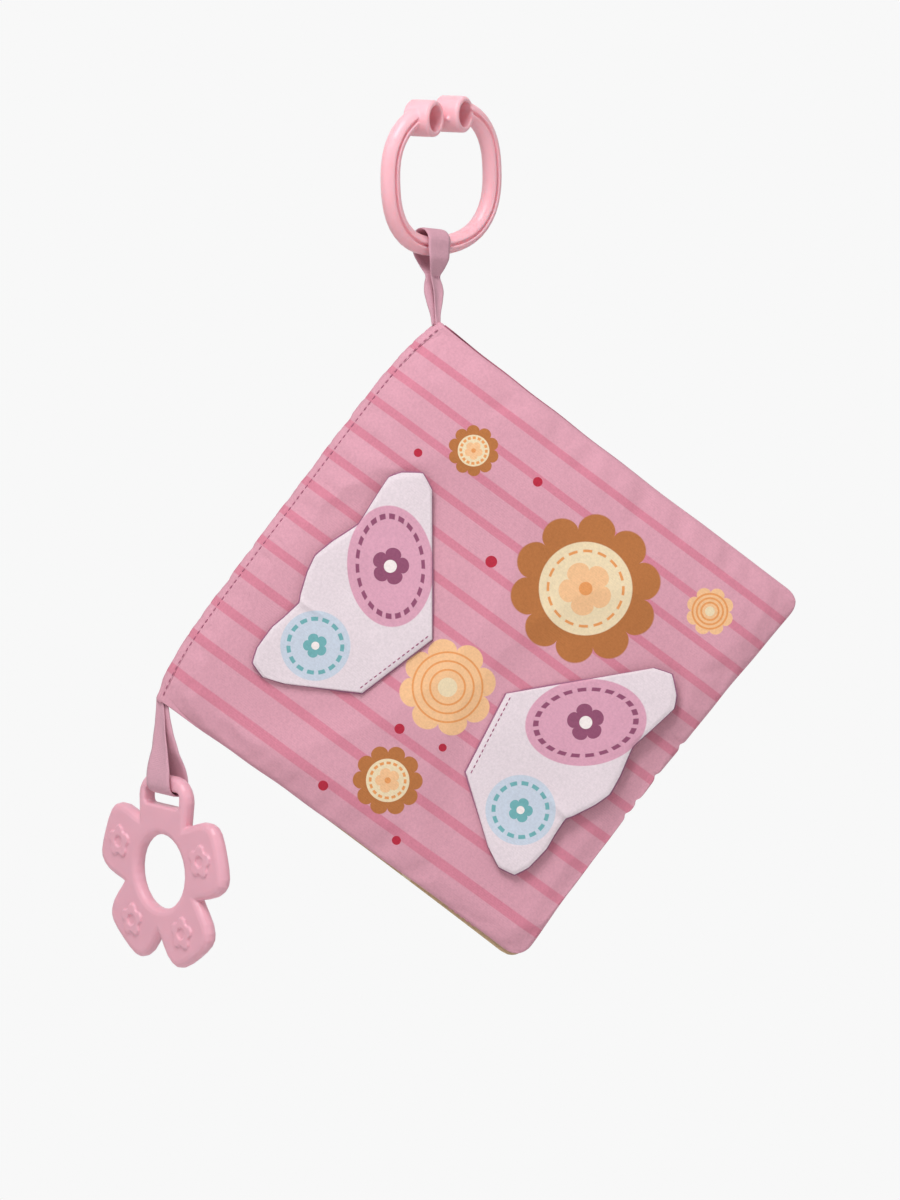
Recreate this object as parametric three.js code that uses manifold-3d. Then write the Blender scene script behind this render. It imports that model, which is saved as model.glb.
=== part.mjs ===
// A baby's crinkle cloth book. One corner hangs on a tape from a C-shaped plastic ring, and a flower
// teether hangs on a second tape at the other end of the spine. Two flaps are sewn on the front cover.
// Millimetres and degrees, +Z up, the front cover faces -Y. The origin is the hang point: inside the
// ring, between its two bosses.
import * as THREE from 'three';
import Module from 'manifold-3d';
import { mergeVertices } from 'three/addons/utils/BufferGeometryUtils.js';

// Layers of the cloth panels
const layerGap = 0.3;
const clothThickness = 0.4;
const filmThickness = 0.2;
const edgeBand = 8;
const waddingEdge = 0.6;
const waddingInset = 10;
const coverCrown = 2.4;

// The book
const spineLength = 175;
const foreEdgeLength = 170.4;
const bookWidth = 169.4;
const bookTilt = 36.9;
const seamInset = 3.4;
const spineBow = 4.8;
const foreCornerRadius = 6.5;
const foreLift = 1.2;
const foreSkew = 1.8;
const foreDraw = 2;
const sideDraw = 0.6;
const leafInset = 1;
const leafSag = 3;

// The flaps on the front cover
const wingReach = 57.5;
const wingHeight = 93;
const wingSeamLength = 32.8;
const leftWingLean = 15.7;
const rightWingLean = 9.5;
const wingSpacing = 41.2;
const wingCentreX = 86;
const wingCentreZ = -24;
const wingLift = 3;

// The hanging ring
const ringRadius = 25.3;
const ringPower = 2.45;
const ringTubeRadius = 3.7;
const grooveWidth = 1.2;
const grooveDepth = 1.5;
const ringAzimuth = 42.6;
const ringTilt = 10.3;
const ringRoll = -11.8;
const bossCircleRadius = 23.9;
const bossSpread = 17.9;
const bossRadius = 6.8;
const bossLength = 10.8;
const bossFront = 4.8;
const bossTurn = 19.3;
const bossEdge = 0.8;
const boreRadius = 4.8;
const boreTaper = 0.6;
const boreFloor = 1.8;
const nubRadius = 0.9;

// The tapes
const tapeThickness = 0.8;
const seamTapeWidth = 1.4;
const seamGap = 0.4;
const ringTapeWidth = 10.6;
const ringTapeDrop = 28.3;
const ringTapeShift = 0.8;
const ringTapeAside = 1.6;
const gatherWidth = 5.4;
const teetherTapeWidth = 13.4;
const teetherTapeDrop = 29.4;
const teetherTapeShift = 1.8;
const teetherSeamX = 3.6;

// The teether
const petalReach = 36.9;
const petalCount = 5;
const teetherThickness = 5.8;
const teetherEdge = 2.6;
const fingerHoleRadius = 14;
const tabWidth = 29.5;
const tabTop = 36.7;
const tabCornerRadius = 9;
const slotWidth = 20.4;
const slotHeight = 6;
const slotCornerRadius = 1.6;
const slotEdge = 1;
const barHeight = 5.6;
const teetherAzimuth = -46.8;
const teetherRoll = 6;
const teetherTilt = 2.5;
const blossomDistance = 25.6;
const blossomRadius = 4;
const blossomPetalRadius = 2.3;
const blossomHeight = 0.9;
const blossomEyeRadius = 2.2;

const { lerp, clamp, smoothstep, degToRad } = THREE.MathUtils;
const vector = (x, y, z) => new THREE.Vector3(x, y, z);
const wasm = await Module();
wasm.setup();

// A closed body from points and triangles, turned so that its faces point out
function bodyOf(points, index) {
  const triple = vector(0, 0, 0);
  let volume = 0;
  for (let k = 0; k < index.length; k += 3) {
    const [a, b, c] = [points[index[k]], points[index[k + 1]], points[index[k + 2]]];
    volume += a.dot(triple.crossVectors(b, c));
  }
  const geometry = new THREE.BufferGeometry().setFromPoints(points);
  geometry.setIndex(volume > 0 ? index : [...index].reverse());
  return geometry;
}

// A skin through closed rings of points, with a fan at each end
function loft(rings) {
  const count = rings[0].length;
  const points = rings.flat();
  const index = [];
  for (let k = 0; k + 1 < rings.length; k += 1) {
    for (let i = 0; i < count; i += 1) {
      const a = k * count + i;
      const b = k * count + ((i + 1) % count);
      index.push(a, b, b + count, a, b + count, a + count);
    }
  }
  for (const [ring, turned] of [[0, true], [rings.length - 1, false]]) {
    const middle = rings[ring].reduce((sum, p) => sum.add(p), vector(0, 0, 0)).divideScalar(count);
    points.push(middle);
    for (let i = 0; i < count; i += 1) {
      const a = ring * count + i;
      const b = ring * count + ((i + 1) % count);
      index.push(points.length - 1, turned ? b : a, turned ? a : b);
    }
  }
  return bodyOf(points, index);
}

// A closed sheet over a grid of shares. place(u, v) gives [x, z], and the two heights are measured from
// the book's middle plane: side -1 is the front half, side 1 the back half.
function sheet(us, vs, place, inner, outer, side) {
  const points = [];
  const index = [];
  const rows = vs.length;
  const half = us.length * rows;
  for (const height of [inner, outer]) {
    for (const u of us) {
      for (const v of vs) {
        const [x, z] = place(u, v);
        points.push(vector(x, side * height(x, z, u, v), z));
      }
    }
  }
  const quad = (a, b, c, d) => index.push(a, b, c, a, c, d);
  const at = (i, j) => i * rows + j;
  for (let i = 0; i + 1 < us.length; i += 1) {
    for (let j = 0; j + 1 < rows; j += 1) {
      quad(at(i, j), at(i + 1, j), at(i + 1, j + 1), at(i, j + 1));
      quad(half + at(i, j), half + at(i, j + 1), half + at(i + 1, j + 1), half + at(i + 1, j));
    }
  }
  const rim = [];
  for (let i = 0; i < us.length; i += 1) rim.push(at(i, 0));
  for (let j = 1; j < rows; j += 1) rim.push(at(us.length - 1, j));
  for (let i = us.length - 2; i >= 0; i -= 1) rim.push(at(i, rows - 1));
  for (let j = rows - 2; j > 0; j -= 1) rim.push(at(0, j));
  rim.forEach((a, k) => {
    const b = rim[(k + 1) % rim.length];
    quad(b, a, half + a, half + b);
  });
  return bodyOf(points, index);
}

function solidOf(geometry) {
  const plain = geometry.clone();
  plain.deleteAttribute('normal');
  plain.deleteAttribute('uv');
  const merged = mergeVertices(plain);
  return new wasm.Manifold(new wasm.Mesh({
    numProp: 3,
    vertProperties: merged.attributes.position.array,
    triVerts: Uint32Array.from(merged.index.array),
  }));
}

function geometryOf(solid) {
  const { vertProperties, triVerts } = solid.getMesh();
  const geometry = new THREE.BufferGeometry();
  geometry.setAttribute('position', new THREE.BufferAttribute(vertProperties, 3));
  geometry.setIndex(new THREE.BufferAttribute(triVerts, 1));
  return geometry;
}

// Shares from 0 to 1 that lie closer together near both ends
const spacedShares = (count) => Array.from(
  { length: count + 1 },
  (_, k) => (1 - Math.cos((k / count) * Math.PI)) / 2,
);

// The panels: covers and leaves start at the seam and end at the fore edge. The spine's edge bows out
// between its two corners, and the seam with it.
const panelStart = seamInset + layerGap;
const arch = (share) => 4 * share * (1 - share);
const bowPower = 6;
const spineEdge = (z) => spineBow * (Math.min(Math.abs((2 * z) / spineLength), 1) ** bowPower - 1);
const halfHeight = (x) => lerp(spineLength, foreEdgeLength, x / bookWidth) / 2;

// Places on a panel, set in from its edges. The fore corners are round, the edges are drawn in a little
// between the corners, and the fore edge stands askew.
function panelPlace(inset, sag = 0) {
  return (u, v) => {
    const start = panelStart + inset + spineEdge(lerp(-1, 1, v) * (spineLength / 2 - inset));
    const across = lerp(start, bookWidth - inset, u);
    const half = halfHeight(across) - inset;
    const along = lerp(-half, half, v);
    const outX = across - (bookWidth - inset - foreCornerRadius);
    const outZ = Math.abs(along) - (half - foreCornerRadius);
    const round = outX > 0 && outZ > 0 ? Math.max(outX, outZ) / Math.hypot(outX, outZ) : 1;
    const x = across - Math.max(outX, 0) * (1 - round);
    const z = along - Math.sign(along) * Math.max(outZ, 0) * (1 - round);
    const shiftX = foreSkew * lerp(-1, 1, v) * u - foreDraw * u * u * arch(v);
    const shiftZ = (foreLift - sag) * u - sideDraw * lerp(-1, 1, v) * arch(u);
    return [x + shiftX, z + shiftZ];
  };
}

// How full the layers are: 0 at a panel's edge and 1 past its edge band
function fullness(x, z) {
  const share = x / bookWidth;
  const off = (z - foreLift * share) / halfHeight(x);
  const edges = [
    x - panelStart - spineEdge(z),
    bookWidth + foreSkew * off - foreDraw * arch((off + 1) / 2) - x,
    (1 - Math.abs(off)) * halfHeight(x) - sideDraw * arch(share),
  ];
  return edges.reduce((product, distance) => product * smoothstep(distance, 0, edgeBand), 1);
}

const swellPowerShare = 0.75;
const backPlateauShare = 0.8;
function swell(x, z) {
  const start = panelStart + spineEdge(z);
  const across = Math.sin(Math.PI * clamp((x - start) / (bookWidth - start), 0, 1));
  const along = Math.cos((Math.PI / 2) * clamp(Math.abs(z) / halfHeight(x), 0, 1));
  return (across * along) ** swellPowerShare;
}
const flatSwell = (x, z) => Math.min(swell(x, z), backPlateauShare);

// Heights of the layers over the book's middle plane, from the inside out
const leafInner = () => layerGap / 2;
const leafInnerTop = () => leafInner() + clothThickness;
const leafFilm = () => leafInnerTop() + layerGap;
const leafFilmTop = () => leafFilm() + filmThickness;
const leafOuter = (x, z) => leafFilm() + (filmThickness + layerGap) * fullness(x, z);
const leafOuterTop = (x, z) => leafOuter(x, z) + clothThickness;
const lining = (x, z) => leafOuterTop(x, z) + layerGap;
const liningTop = (x, z) => lining(x, z) + clothThickness;
const coverFilm = (x, z) => liningTop(x, z) + layerGap;
const coverFilmTop = (x, z) => coverFilm(x, z) + filmThickness;
const paddingFill = filmThickness + waddingEdge + 2 * layerGap;
const cover = (crown) => (x, z) => (
  coverFilm(x, z) + paddingFill * fullness(x, z) + coverCrown * crown(x, z)
);
const coverTop = (crown) => (x, z) => cover(crown)(x, z) + clothThickness;
const wadding = (x, z) => coverFilmTop(x, z) + layerGap;
const waddingTop = (crown) => (x, z) => cover(crown)(x, z) - layerGap;
const edgeHalfThickness = lining(panelStart + spineEdge(0), 0) + 2 * clothThickness + layerGap;

// Numbers of grid steps, in eighths so that neighbouring layers share their places
const frontSteps = 24;
const backSteps = 16;
const innerSteps = 8;
const filmSteps = 4;

function panel(steps, inset, inner, outer, side, sag) {
  const shares = spacedShares(steps);
  return sheet(shares, shares, panelPlace(inset, sag), inner, outer, side);
}

// The spine: the cover cloth folded round the sewn edges of the leaves
function spineShape(inset) {
  const nose = seamInset - inset;
  const half = edgeHalfThickness - layerGap - inset;
  const curve = new THREE.EllipseCurve(seamInset, 0, nose, half, -Math.PI / 2, Math.PI / 2, true);
  return curve.getPoints(foldSteps);
}
const foldSteps = 10;

function extrudeAlongSpine(points) {
  const options = { depth: spineLength, bevelEnabled: false, steps: spineSteps };
  const geometry = new THREE.ExtrudeGeometry(new THREE.Shape(points), options);
  geometry.translate(0, 0, -spineLength / 2);
  const { position } = geometry.attributes;
  for (let i = 0; i < position.count; i += 1) {
    position.setX(i, position.getX(i) + spineEdge(position.getZ(i)));
  }
  return geometry;
}
const spineSteps = 18;

function spineFold() {
  return extrudeAlongSpine([...spineShape(0), ...spineShape(clothThickness).reverse()]);
}

function sewnLeafEdges() {
  return extrudeAlongSpine(spineShape(clothThickness + layerGap));
}

// The outer edge of a wing flap, from its top edge round to its bottom edge, in shares of its reach
// and its height
const wingEdgeShares = [
  [0.765, 0.011], [0.887, 0], [0.974, 0.065], [1, 0.118], [0.939, 0.226], [0.878, 0.328],
  [0.892, 0.452], [0.887, 0.538], [0.835, 0.602], [0.748, 0.677], [0.708, 0.704], [0.694, 0.785],
  [0.689, 0.849], [0.643, 0.946], [0.583, 0.998], [0.47, 1], [0.348, 0.946],
];
const wingSeamShare = 0.548;
const wingRowShares = [0, 0.25, 0.55, 0.85, 1];

// One flap: hand is -1 for the left and 1 for the right. Its seam leans out towards the bottom.
function wingFrame(hand) {
  const lean = degToRad(hand < 0 ? leftWingLean : rightWingLean);
  const middle = [wingCentreX + (hand * wingSpacing) / 2, wingCentreZ];
  const out = [hand * Math.cos(lean), Math.sin(lean)];
  const down = [hand * Math.sin(lean), -Math.cos(lean)];
  const toBook = (reach, drop) => [
    middle[0] + out[0] * reach + down[0] * drop,
    middle[1] + out[1] * reach + down[1] * drop,
  ];
  const reachOf = (x, z) => (x - middle[0]) * out[0] + (z - middle[1]) * out[1];
  return { middle, toBook, reachOf };
}

function wingSheets(hand) {
  const { toBook, reachOf } = wingFrame(hand);
  const columns = wingEdgeShares.map((_, k) => k / (wingEdgeShares.length - 1));
  const place = (u, v) => {
    const [reachShare, heightShare] = wingEdgeShares[Math.round(u * (wingEdgeShares.length - 1))];
    const seamDrop = lerp(-wingSeamLength, wingSeamLength, u) / 2;
    const edgeDrop = (heightShare - wingSeamShare) * wingHeight;
    return toBook(reachShare * wingReach * v, lerp(seamDrop, edgeDrop, v));
  };
  const base = (x, z) => {
    const lift = wingLift * (reachOf(x, z) / wingReach) ** 2;
    return coverTop(swell)(x, z) + layerGap + lift;
  };
  const inside = (u, v) => (u > 0 && u < 1 && v > 0 && v < 1 ? 1 : 0);
  const backTop = (x, z) => base(x, z) + clothThickness;
  const film = (x, z) => backTop(x, z) + layerGap;
  const filmTop = (x, z) => film(x, z) + filmThickness;
  const front = (x, z, u, v) => film(x, z) + (filmThickness + layerGap) * inside(u, v);
  const frontTop = (x, z, u, v) => front(x, z, u, v) + clothThickness;
  return {
    back_cloth: sheet(columns, wingRowShares, place, base, backTop, -1),
    film: sheet(columns.slice(1, -1), wingRowShares.slice(1, -1), place, film, filmTop, -1),
    front_cloth: sheet(columns, wingRowShares, place, front, frontTop, -1),
  };
}

// The ring: a grooved tube from boss to boss, two hollow bosses and the nub between them
const tubeSides = 18;
const ringSteps = 46;
function ringSection() {
  const half = Math.asin(grooveWidth / 2 / ringTubeRadius);
  const section = [];
  for (let k = 0; k <= tubeSides; k += 1) {
    const angle = -Math.PI / 2 + lerp(half, 2 * Math.PI - half, k / tubeSides);
    section.push([ringTubeRadius * Math.cos(angle), ringTubeRadius * Math.sin(angle)]);
  }
  const floor = grooveDepth - ringTubeRadius;
  section.push([-grooveWidth / 3, floor], [grooveWidth / 3, floor]);
  return section;
}

// The ring's path is a little fuller than a circle
function ringReach(angle) {
  const sum = Math.abs(Math.cos(angle)) ** ringPower + Math.abs(Math.sin(angle)) ** ringPower;
  return ringRadius / sum ** (1 / ringPower);
}

function ringTube() {
  const start = degToRad(90 + bossSpread);
  const end = degToRad(450 - bossSpread);
  const rings = [];
  for (let k = 0; k <= ringSteps; k += 1) {
    const angle = lerp(start, end, k / ringSteps);
    rings.push(ringSection().map(([out, back]) => {
      const radius = ringReach(angle) + out;
      return vector(radius * Math.cos(angle), back, radius * Math.sin(angle));
    }));
  }
  return loft(rings);
}

const bossSides = 28;
function turned(profile, sides) {
  return new THREE.LatheGeometry(profile.map(([r, y]) => new THREE.Vector2(r, y)), sides);
}

function placeBoss(geometry, hand) {
  const angle = degToRad(90 - hand * bossSpread);
  const x = bossCircleRadius * Math.cos(angle);
  const z = bossCircleRadius * Math.sin(angle);
  return geometry.rotateZ(degToRad(bossTurn)).translate(x, 0, z);
}

function hangingRing() {
  const back = bossLength - bossFront;
  const edge = bossRadius - bossEdge;
  const barrel = [
    [0, -bossFront], [edge, -bossFront], [bossRadius, bossEdge - bossFront],
    [bossRadius, back - bossEdge], [edge, back], [0, back],
  ];
  const overrun = layerGap;
  const bore = [
    [0, -bossFront - overrun], [boreRadius, -bossFront - overrun],
    [boreRadius - boreTaper, back - boreFloor], [0, back - boreFloor],
  ];
  let ring = solidOf(ringTube());
  for (const hand of [-1, 1]) ring = ring.add(solidOf(placeBoss(turned(barrel, bossSides), hand)));
  const nub = new THREE.SphereGeometry(nubRadius, 12, 8);
  nub.translate(-bossRadius, -nubRadius, -nubRadius);
  ring = ring.add(solidOf(placeBoss(nub, 1)));
  for (const hand of [-1, 1]) ring = ring.subtract(solidOf(placeBoss(turned(bore, bossSides), hand)));
  return geometryOf(ring);
}

// A tape sewn into a loop: up one strand, round a bar and back down the other strand. Each station has
// its share of the way from the seam to the bar, how far the tape has turned from the seam's direction
// to the bar's, its width, its thickness, which grows where it is folded, and how far the strands stand
// apart. Round the bar the loop's path has a radius, on two corners beside the bar's middle.
const tapeTurnSteps = 7;
const tapeTurnChord = Math.cos(Math.PI / tapeTurnSteps / 2);
const bendRadius = (inner) => (inner + layerGap) / tapeTurnChord + tapeThickness / 2;

function tapeSection(centre, wide, out, width, thickness) {
  const corners = [[1, 1], [1, 2], [-1, 2], [-1, 1], [-1, -1], [-1, -2], [1, -2], [1, -1]];
  return corners.map(([across, through]) => {
    const outer = Math.abs(through) === 2;
    const reach = outer ? width / 2 - thickness / 4 : width / 2;
    return centre.clone()
      .addScaledVector(wide, across * reach)
      .addScaledVector(out, (through * thickness) / 4);
  });
}

function tapeLoop({ seam, seamOut, bar, barOut, barAlong, corner, radius, stations }) {
  const past = bar.clone().sub(seam).projectOnPlane(barAlong).projectOnPlane(barOut).normalize();
  const seamWide = past.clone().cross(seamOut).normalize();
  const barWide = past.clone().cross(barOut);
  const strand = (side) => stations.map(({ share, turn, width, thickness, apart }) => {
    const wide = seamWide.clone().lerp(barWide, turn).normalize();
    const out = seamOut.clone().lerp(barOut, turn).projectOnPlane(wide).normalize();
    const centre = seam.clone().lerp(bar, share).addScaledVector(out, (side * apart) / 2);
    return tapeSection(centre, wide, out.multiplyScalar(side), width, thickness);
  });
  const { width, thickness } = stations[stations.length - 1];
  const bend = [];
  for (let k = 0; k <= tapeTurnSteps; k += 1) {
    const angle = (k / tapeTurnSteps) * Math.PI;
    const out = barOut.clone().multiplyScalar(Math.cos(angle)).addScaledVector(past, Math.sin(angle));
    const centre = bar.clone()
      .addScaledVector(barOut, corner.out * Math.sign(Math.cos(angle)))
      .addScaledVector(past, corner.past)
      .addScaledVector(out, radius);
    bend.push(tapeSection(centre, barWide, out, width, thickness));
  }
  return loft([...strand(1), ...bend, ...strand(-1).reverse()]);
}

// Frames of the hung pieces, each from the piece that carries it
const ringTurn = new THREE.Euler(degToRad(ringTilt), degToRad(ringRoll), degToRad(ringAzimuth), 'ZXY');
const hangRadius = bossCircleRadius * Math.cos(degToRad(bossSpread)) - bossRadius;
const ringCentre = vector(0, 0, -hangRadius).applyEuler(ringTurn);
const ringPlaneTurn = new THREE.Euler(degToRad(ringTilt), 0, degToRad(ringAzimuth), 'ZXY');
const ringBottom = vector(0, 0, -ringRadius).applyEuler(ringPlaneTurn).add(ringCentre);
const ringAlong = vector(1, 0, 0).applyEuler(ringPlaneTurn);
const ringOut = vector(0, -1, 0).applyEuler(ringPlaneTurn);

const topSeam = ringBottom.clone().add(vector(ringTapeShift, 0, -ringTapeDrop));
const bookCorner = topSeam.clone().add(vector(seamTapeWidth / 4, 0, -seamGap));
const bookTurn = new THREE.Euler(0, degToRad(bookTilt), 0);
const bookOrigin = vector(0, 0, -spineLength / 2).applyEuler(bookTurn).add(bookCorner);
const bookAcross = vector(1, 0, 0).applyEuler(bookTurn);

const lowSeam = vector(teetherSeamX, 0, -spineLength / 2 - seamGap).applyEuler(bookTurn).add(bookOrigin);
const teetherTurn = new THREE.Euler(
  degToRad(teetherTilt),
  degToRad(teetherRoll),
  degToRad(teetherAzimuth),
  'ZXY',
);
const slotBar = lowSeam.clone().add(vector(teetherTapeShift, 0, -teetherTapeDrop));
const barZ = tabTop - barHeight / 2;
const teetherOrigin = slotBar.clone().sub(vector(0, 0, barZ).applyEuler(teetherTurn));
const barAlong = vector(1, 0, 0).applyEuler(teetherTurn);
const barOut = vector(0, -1, 0).applyEuler(teetherTurn);

// The hanging tape is gathered by stitches a little under the ring, and its strands twist below them
function hangingTape() {
  const farEdge = ringTapeWidth / 2 + ringTapeAside;
  const rise = ringRadius - Math.sqrt(ringRadius ** 2 - farEdge ** 2);
  const radius = bendRadius(ringTubeRadius + layerGap);
  const [thin, folded, bunched] = [1, 2, 3].map((layers) => layers * tapeThickness);
  return tapeLoop({
    seam: topSeam,
    seamOut: vector(1, 0, 0),
    bar: ringBottom.clone().addScaledVector(ringAlong, -ringTapeAside),
    barOut: ringOut,
    barAlong: ringAlong,
    corner: { out: 0, past: rise },
    radius,
    stations: [
      { share: 0, turn: 0, width: seamTapeWidth, thickness: folded, apart: folded + layerGap },
      { share: 0.12, turn: 0, width: 1.6 * seamTapeWidth, thickness: bunched, apart: bunched + layerGap },
      { share: 0.38, turn: 0.2, width: 0.9 * gatherWidth, thickness: bunched, apart: bunched + 2 * layerGap },
      { share: 0.59, turn: 0.75, width: gatherWidth, thickness: 1.4 * thin, apart: 1.4 * thin + layerGap },
      { share: 0.74, turn: 1, width: 0.85 * ringTapeWidth, thickness: thin, apart: 1.5 * radius },
      { share: 0.84, turn: 1, width: ringTapeWidth, thickness: thin, apart: 2 * radius },
    ],
  });
}

// The teether's tape leaves the bar of the slot room to turn in it
function teetherTape() {
  const barReach = Math.hypot(teetherThickness / 2 - slotEdge, barHeight / 2 - slotEdge) + slotEdge;
  const radius = bendRadius(barReach);
  const [thin, folded, bunched] = [1, 2, 4].map((layers) => layers * tapeThickness);
  return tapeLoop({
    seam: lowSeam,
    seamOut: bookAcross.clone().negate(),
    bar: slotBar,
    barOut,
    barAlong,
    corner: { out: 0, past: 0 },
    radius,
    stations: [
      { share: 0, turn: 0, width: seamTapeWidth, thickness: bunched, apart: bunched + layerGap },
      { share: 0.12, turn: 0.05, width: 2 * seamTapeWidth, thickness: bunched, apart: bunched + layerGap },
      { share: 0.35, turn: 0.3, width: 0.4 * teetherTapeWidth, thickness: folded, apart: 2 * folded },
      { share: 0.6, turn: 0.75, width: 0.75 * teetherTapeWidth, thickness: thin, apart: 1.2 * radius },
      { share: 0.82, turn: 1, width: 0.97 * teetherTapeWidth, thickness: thin, apart: 1.8 * radius },
      { share: 0.94, turn: 1, width: teetherTapeWidth, thickness: thin, apart: 2 * radius },
    ],
  });
}

// The teether's outline: four broad petals and a tab with round corners in place of the fifth. A petal
// is given by shares of its half angle and of its reach.
const petalEdgeShares = [
  [0, 0.992], [0.2, 0.997], [0.38, 1], [0.5, 0.985], [0.61, 0.94], [0.72, 0.868], [0.83, 0.767],
  [0.92, 0.69], [1, 0.635],
];
const tabCornerSteps = 5;
const petalAngle = (k) => Math.PI / 2 + (2 * Math.PI * k) / petalCount;

function teetherOutline() {
  const halfAngle = Math.PI / petalCount;
  const before = petalEdgeShares.slice(1).reverse().map(([angle, reach]) => [-angle, reach]);
  const points = [];
  for (let k = 1; k < petalCount; k += 1) {
    const edge = k === 1 ? [...before, ...petalEdgeShares] : [...before.slice(1), ...petalEdgeShares];
    for (const [angleShare, reachShare] of edge) {
      const angle = petalAngle(k) + angleShare * halfAngle;
      points.push([petalReach * reachShare * Math.cos(angle), petalReach * reachShare * Math.sin(angle)]);
    }
  }
  const corner = (centre, from) => Array.from({ length: tabCornerSteps + 1 }, (_, i) => {
    const turn = from + (i / tabCornerSteps) * (Math.PI / 2);
    const z = tabTop - tabCornerRadius + tabCornerRadius * Math.sin(turn);
    return [centre + tabCornerRadius * Math.cos(turn), z];
  });
  const tabCorner = tabWidth / 2 - tabCornerRadius;
  return [...points, ...corner(tabCorner, 0), ...corner(-tabCorner, Math.PI / 2)];
}

// The cutter for the slot: its rings run from front to back and flare out at both faces
function slotCutter() {
  const high = tabTop - barHeight;
  const middle = high - slotHeight / 2;
  const half = teetherThickness / 2;
  const flareShares = [[0, 1], [0.25, 0.34], [0.6, 0.08], [1, 0]];
  const near = flareShares.map(([depth, grow]) => [slotEdge * depth - half, slotEdge * grow]);
  const stations = [[-half - slotEdge, slotEdge], ...near];
  const mirrored = stations.map(([y, grow]) => [-y, grow]).reverse();
  return loft([...stations, ...mirrored].map(([y, grow]) => {
    const radius = slotCornerRadius + grow;
    const ring = [];
    for (let k = 0; k < slotCornerTurns * 4; k += 1) {
      const quarter = Math.floor(k / slotCornerTurns);
      const turn = ((k - quarter) / (slotCornerTurns - 1)) * (Math.PI / 2);
      const right = quarter === 0 || quarter === 3 ? 1 : -1;
      const up = quarter < 2 ? 1 : -1;
      const x = right * (slotWidth / 2 - slotCornerRadius) + radius * Math.cos(turn);
      const z = up * (slotHeight / 2 - slotCornerRadius) + radius * Math.sin(turn);
      ring.push(vector(x, y, middle + z));
    }
    return ring;
  }));
}
const slotCornerTurns = 4;

const bevelSteps = 3;
function rounded(shape, thickness, edge, curveSegments) {
  const geometry = new THREE.ExtrudeGeometry(shape, {
    depth: thickness - 2 * edge,
    bevelThickness: edge,
    bevelSize: edge,
    bevelOffset: -edge,
    bevelSegments: bevelSteps,
    curveSegments,
  });
  return geometry.translate(0, 0, edge - thickness / 2).rotateX(Math.PI / 2);
}

// A raised blossom with a sunken eye, upright, on the front face
const blossomPetalSteps = 4;
function blossom(x, z) {
  const outline = [];
  for (let k = 0; k < petalCount; k += 1) {
    const angle = petalAngle(k);
    for (let i = 0; i <= blossomPetalSteps; i += 1) {
      const turn = angle + lerp(-1, 1, i / blossomPetalSteps) * (Math.PI / 2);
      const reach = blossomRadius + blossomPetalRadius * Math.cos(turn - angle);
      const aside = blossomPetalRadius * Math.sin(turn - angle);
      const px = reach * Math.cos(angle) - aside * Math.sin(angle);
      const py = reach * Math.sin(angle) + aside * Math.cos(angle);
      outline.push(new THREE.Vector2(px, py));
    }
  }
  const shape = new THREE.Shape(outline);
  shape.holes.push(new THREE.Path().absarc(0, 0, blossomEyeRadius, 0, 2 * Math.PI, true));
  const raised = new THREE.ExtrudeGeometry(shape, {
    depth: blossomHeight,
    bevelThickness: blossomHeight / 3,
    bevelSize: blossomHeight / 3,
    bevelOffset: -blossomHeight / 3,
    bevelSegments: 1,
    curveSegments: blossomPetalSteps,
  });
  raised.rotateX(Math.PI / 2);
  return raised.translate(x, blossomHeight / 3 - teetherThickness / 2, z);
}

const holeSegments = 14;
function teether() {
  const shape = new THREE.Shape(teetherOutline().map(([x, y]) => new THREE.Vector2(x, y)));
  shape.holes.push(new THREE.Path().absarc(0, 0, fingerHoleRadius, 0, 2 * Math.PI, true));
  let solid = solidOf(rounded(shape, teetherThickness, teetherEdge, holeSegments));
  solid = solid.subtract(solidOf(slotCutter()));
  for (let k = 1; k < petalCount; k += 1) {
    const x = blossomDistance * Math.cos(petalAngle(k));
    const z = blossomDistance * Math.sin(petalAngle(k));
    solid = solid.add(solidOf(blossom(x, z)));
  }
  return geometryOf(solid);
}

// Finishes
const finish = (color, roughness) => new THREE.MeshStandardMaterial({ color, roughness, metalness: 0 });
const finishes = {
  pinkCloth: finish('#d998b0', 0.85),
  mauveCloth: finish('#b98aa0', 0.85),
  wingCloth: finish('#e8dce3', 0.85),
  pageCloth: finish('#c9ac8b', 0.85),
  wadding: finish('#f2f0ec', 0.95),
  film: finish('#e9edf0', 0.35),
  tape: finish('#c292a6', 0.85),
  ringPlastic: finish('#f3b2c0', 0.4),
  teetherPlastic: finish('#e8a8ba', 0.5),
};

const root = new THREE.Group();
function add(group, name, geometry, material) {
  const mesh = new THREE.Mesh(geometry, material);
  mesh.name = name;
  group.add(mesh);
}
function group(position, turn) {
  const frame = new THREE.Group();
  frame.position.copy(position);
  frame.rotation.copy(turn);
  root.add(frame);
  return frame;
}

add(group(ringCentre, ringTurn), 'hanging_ring', hangingRing(), finishes.ringPlastic);
add(root, 'hanging_tape', hangingTape(), finishes.tape);

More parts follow.
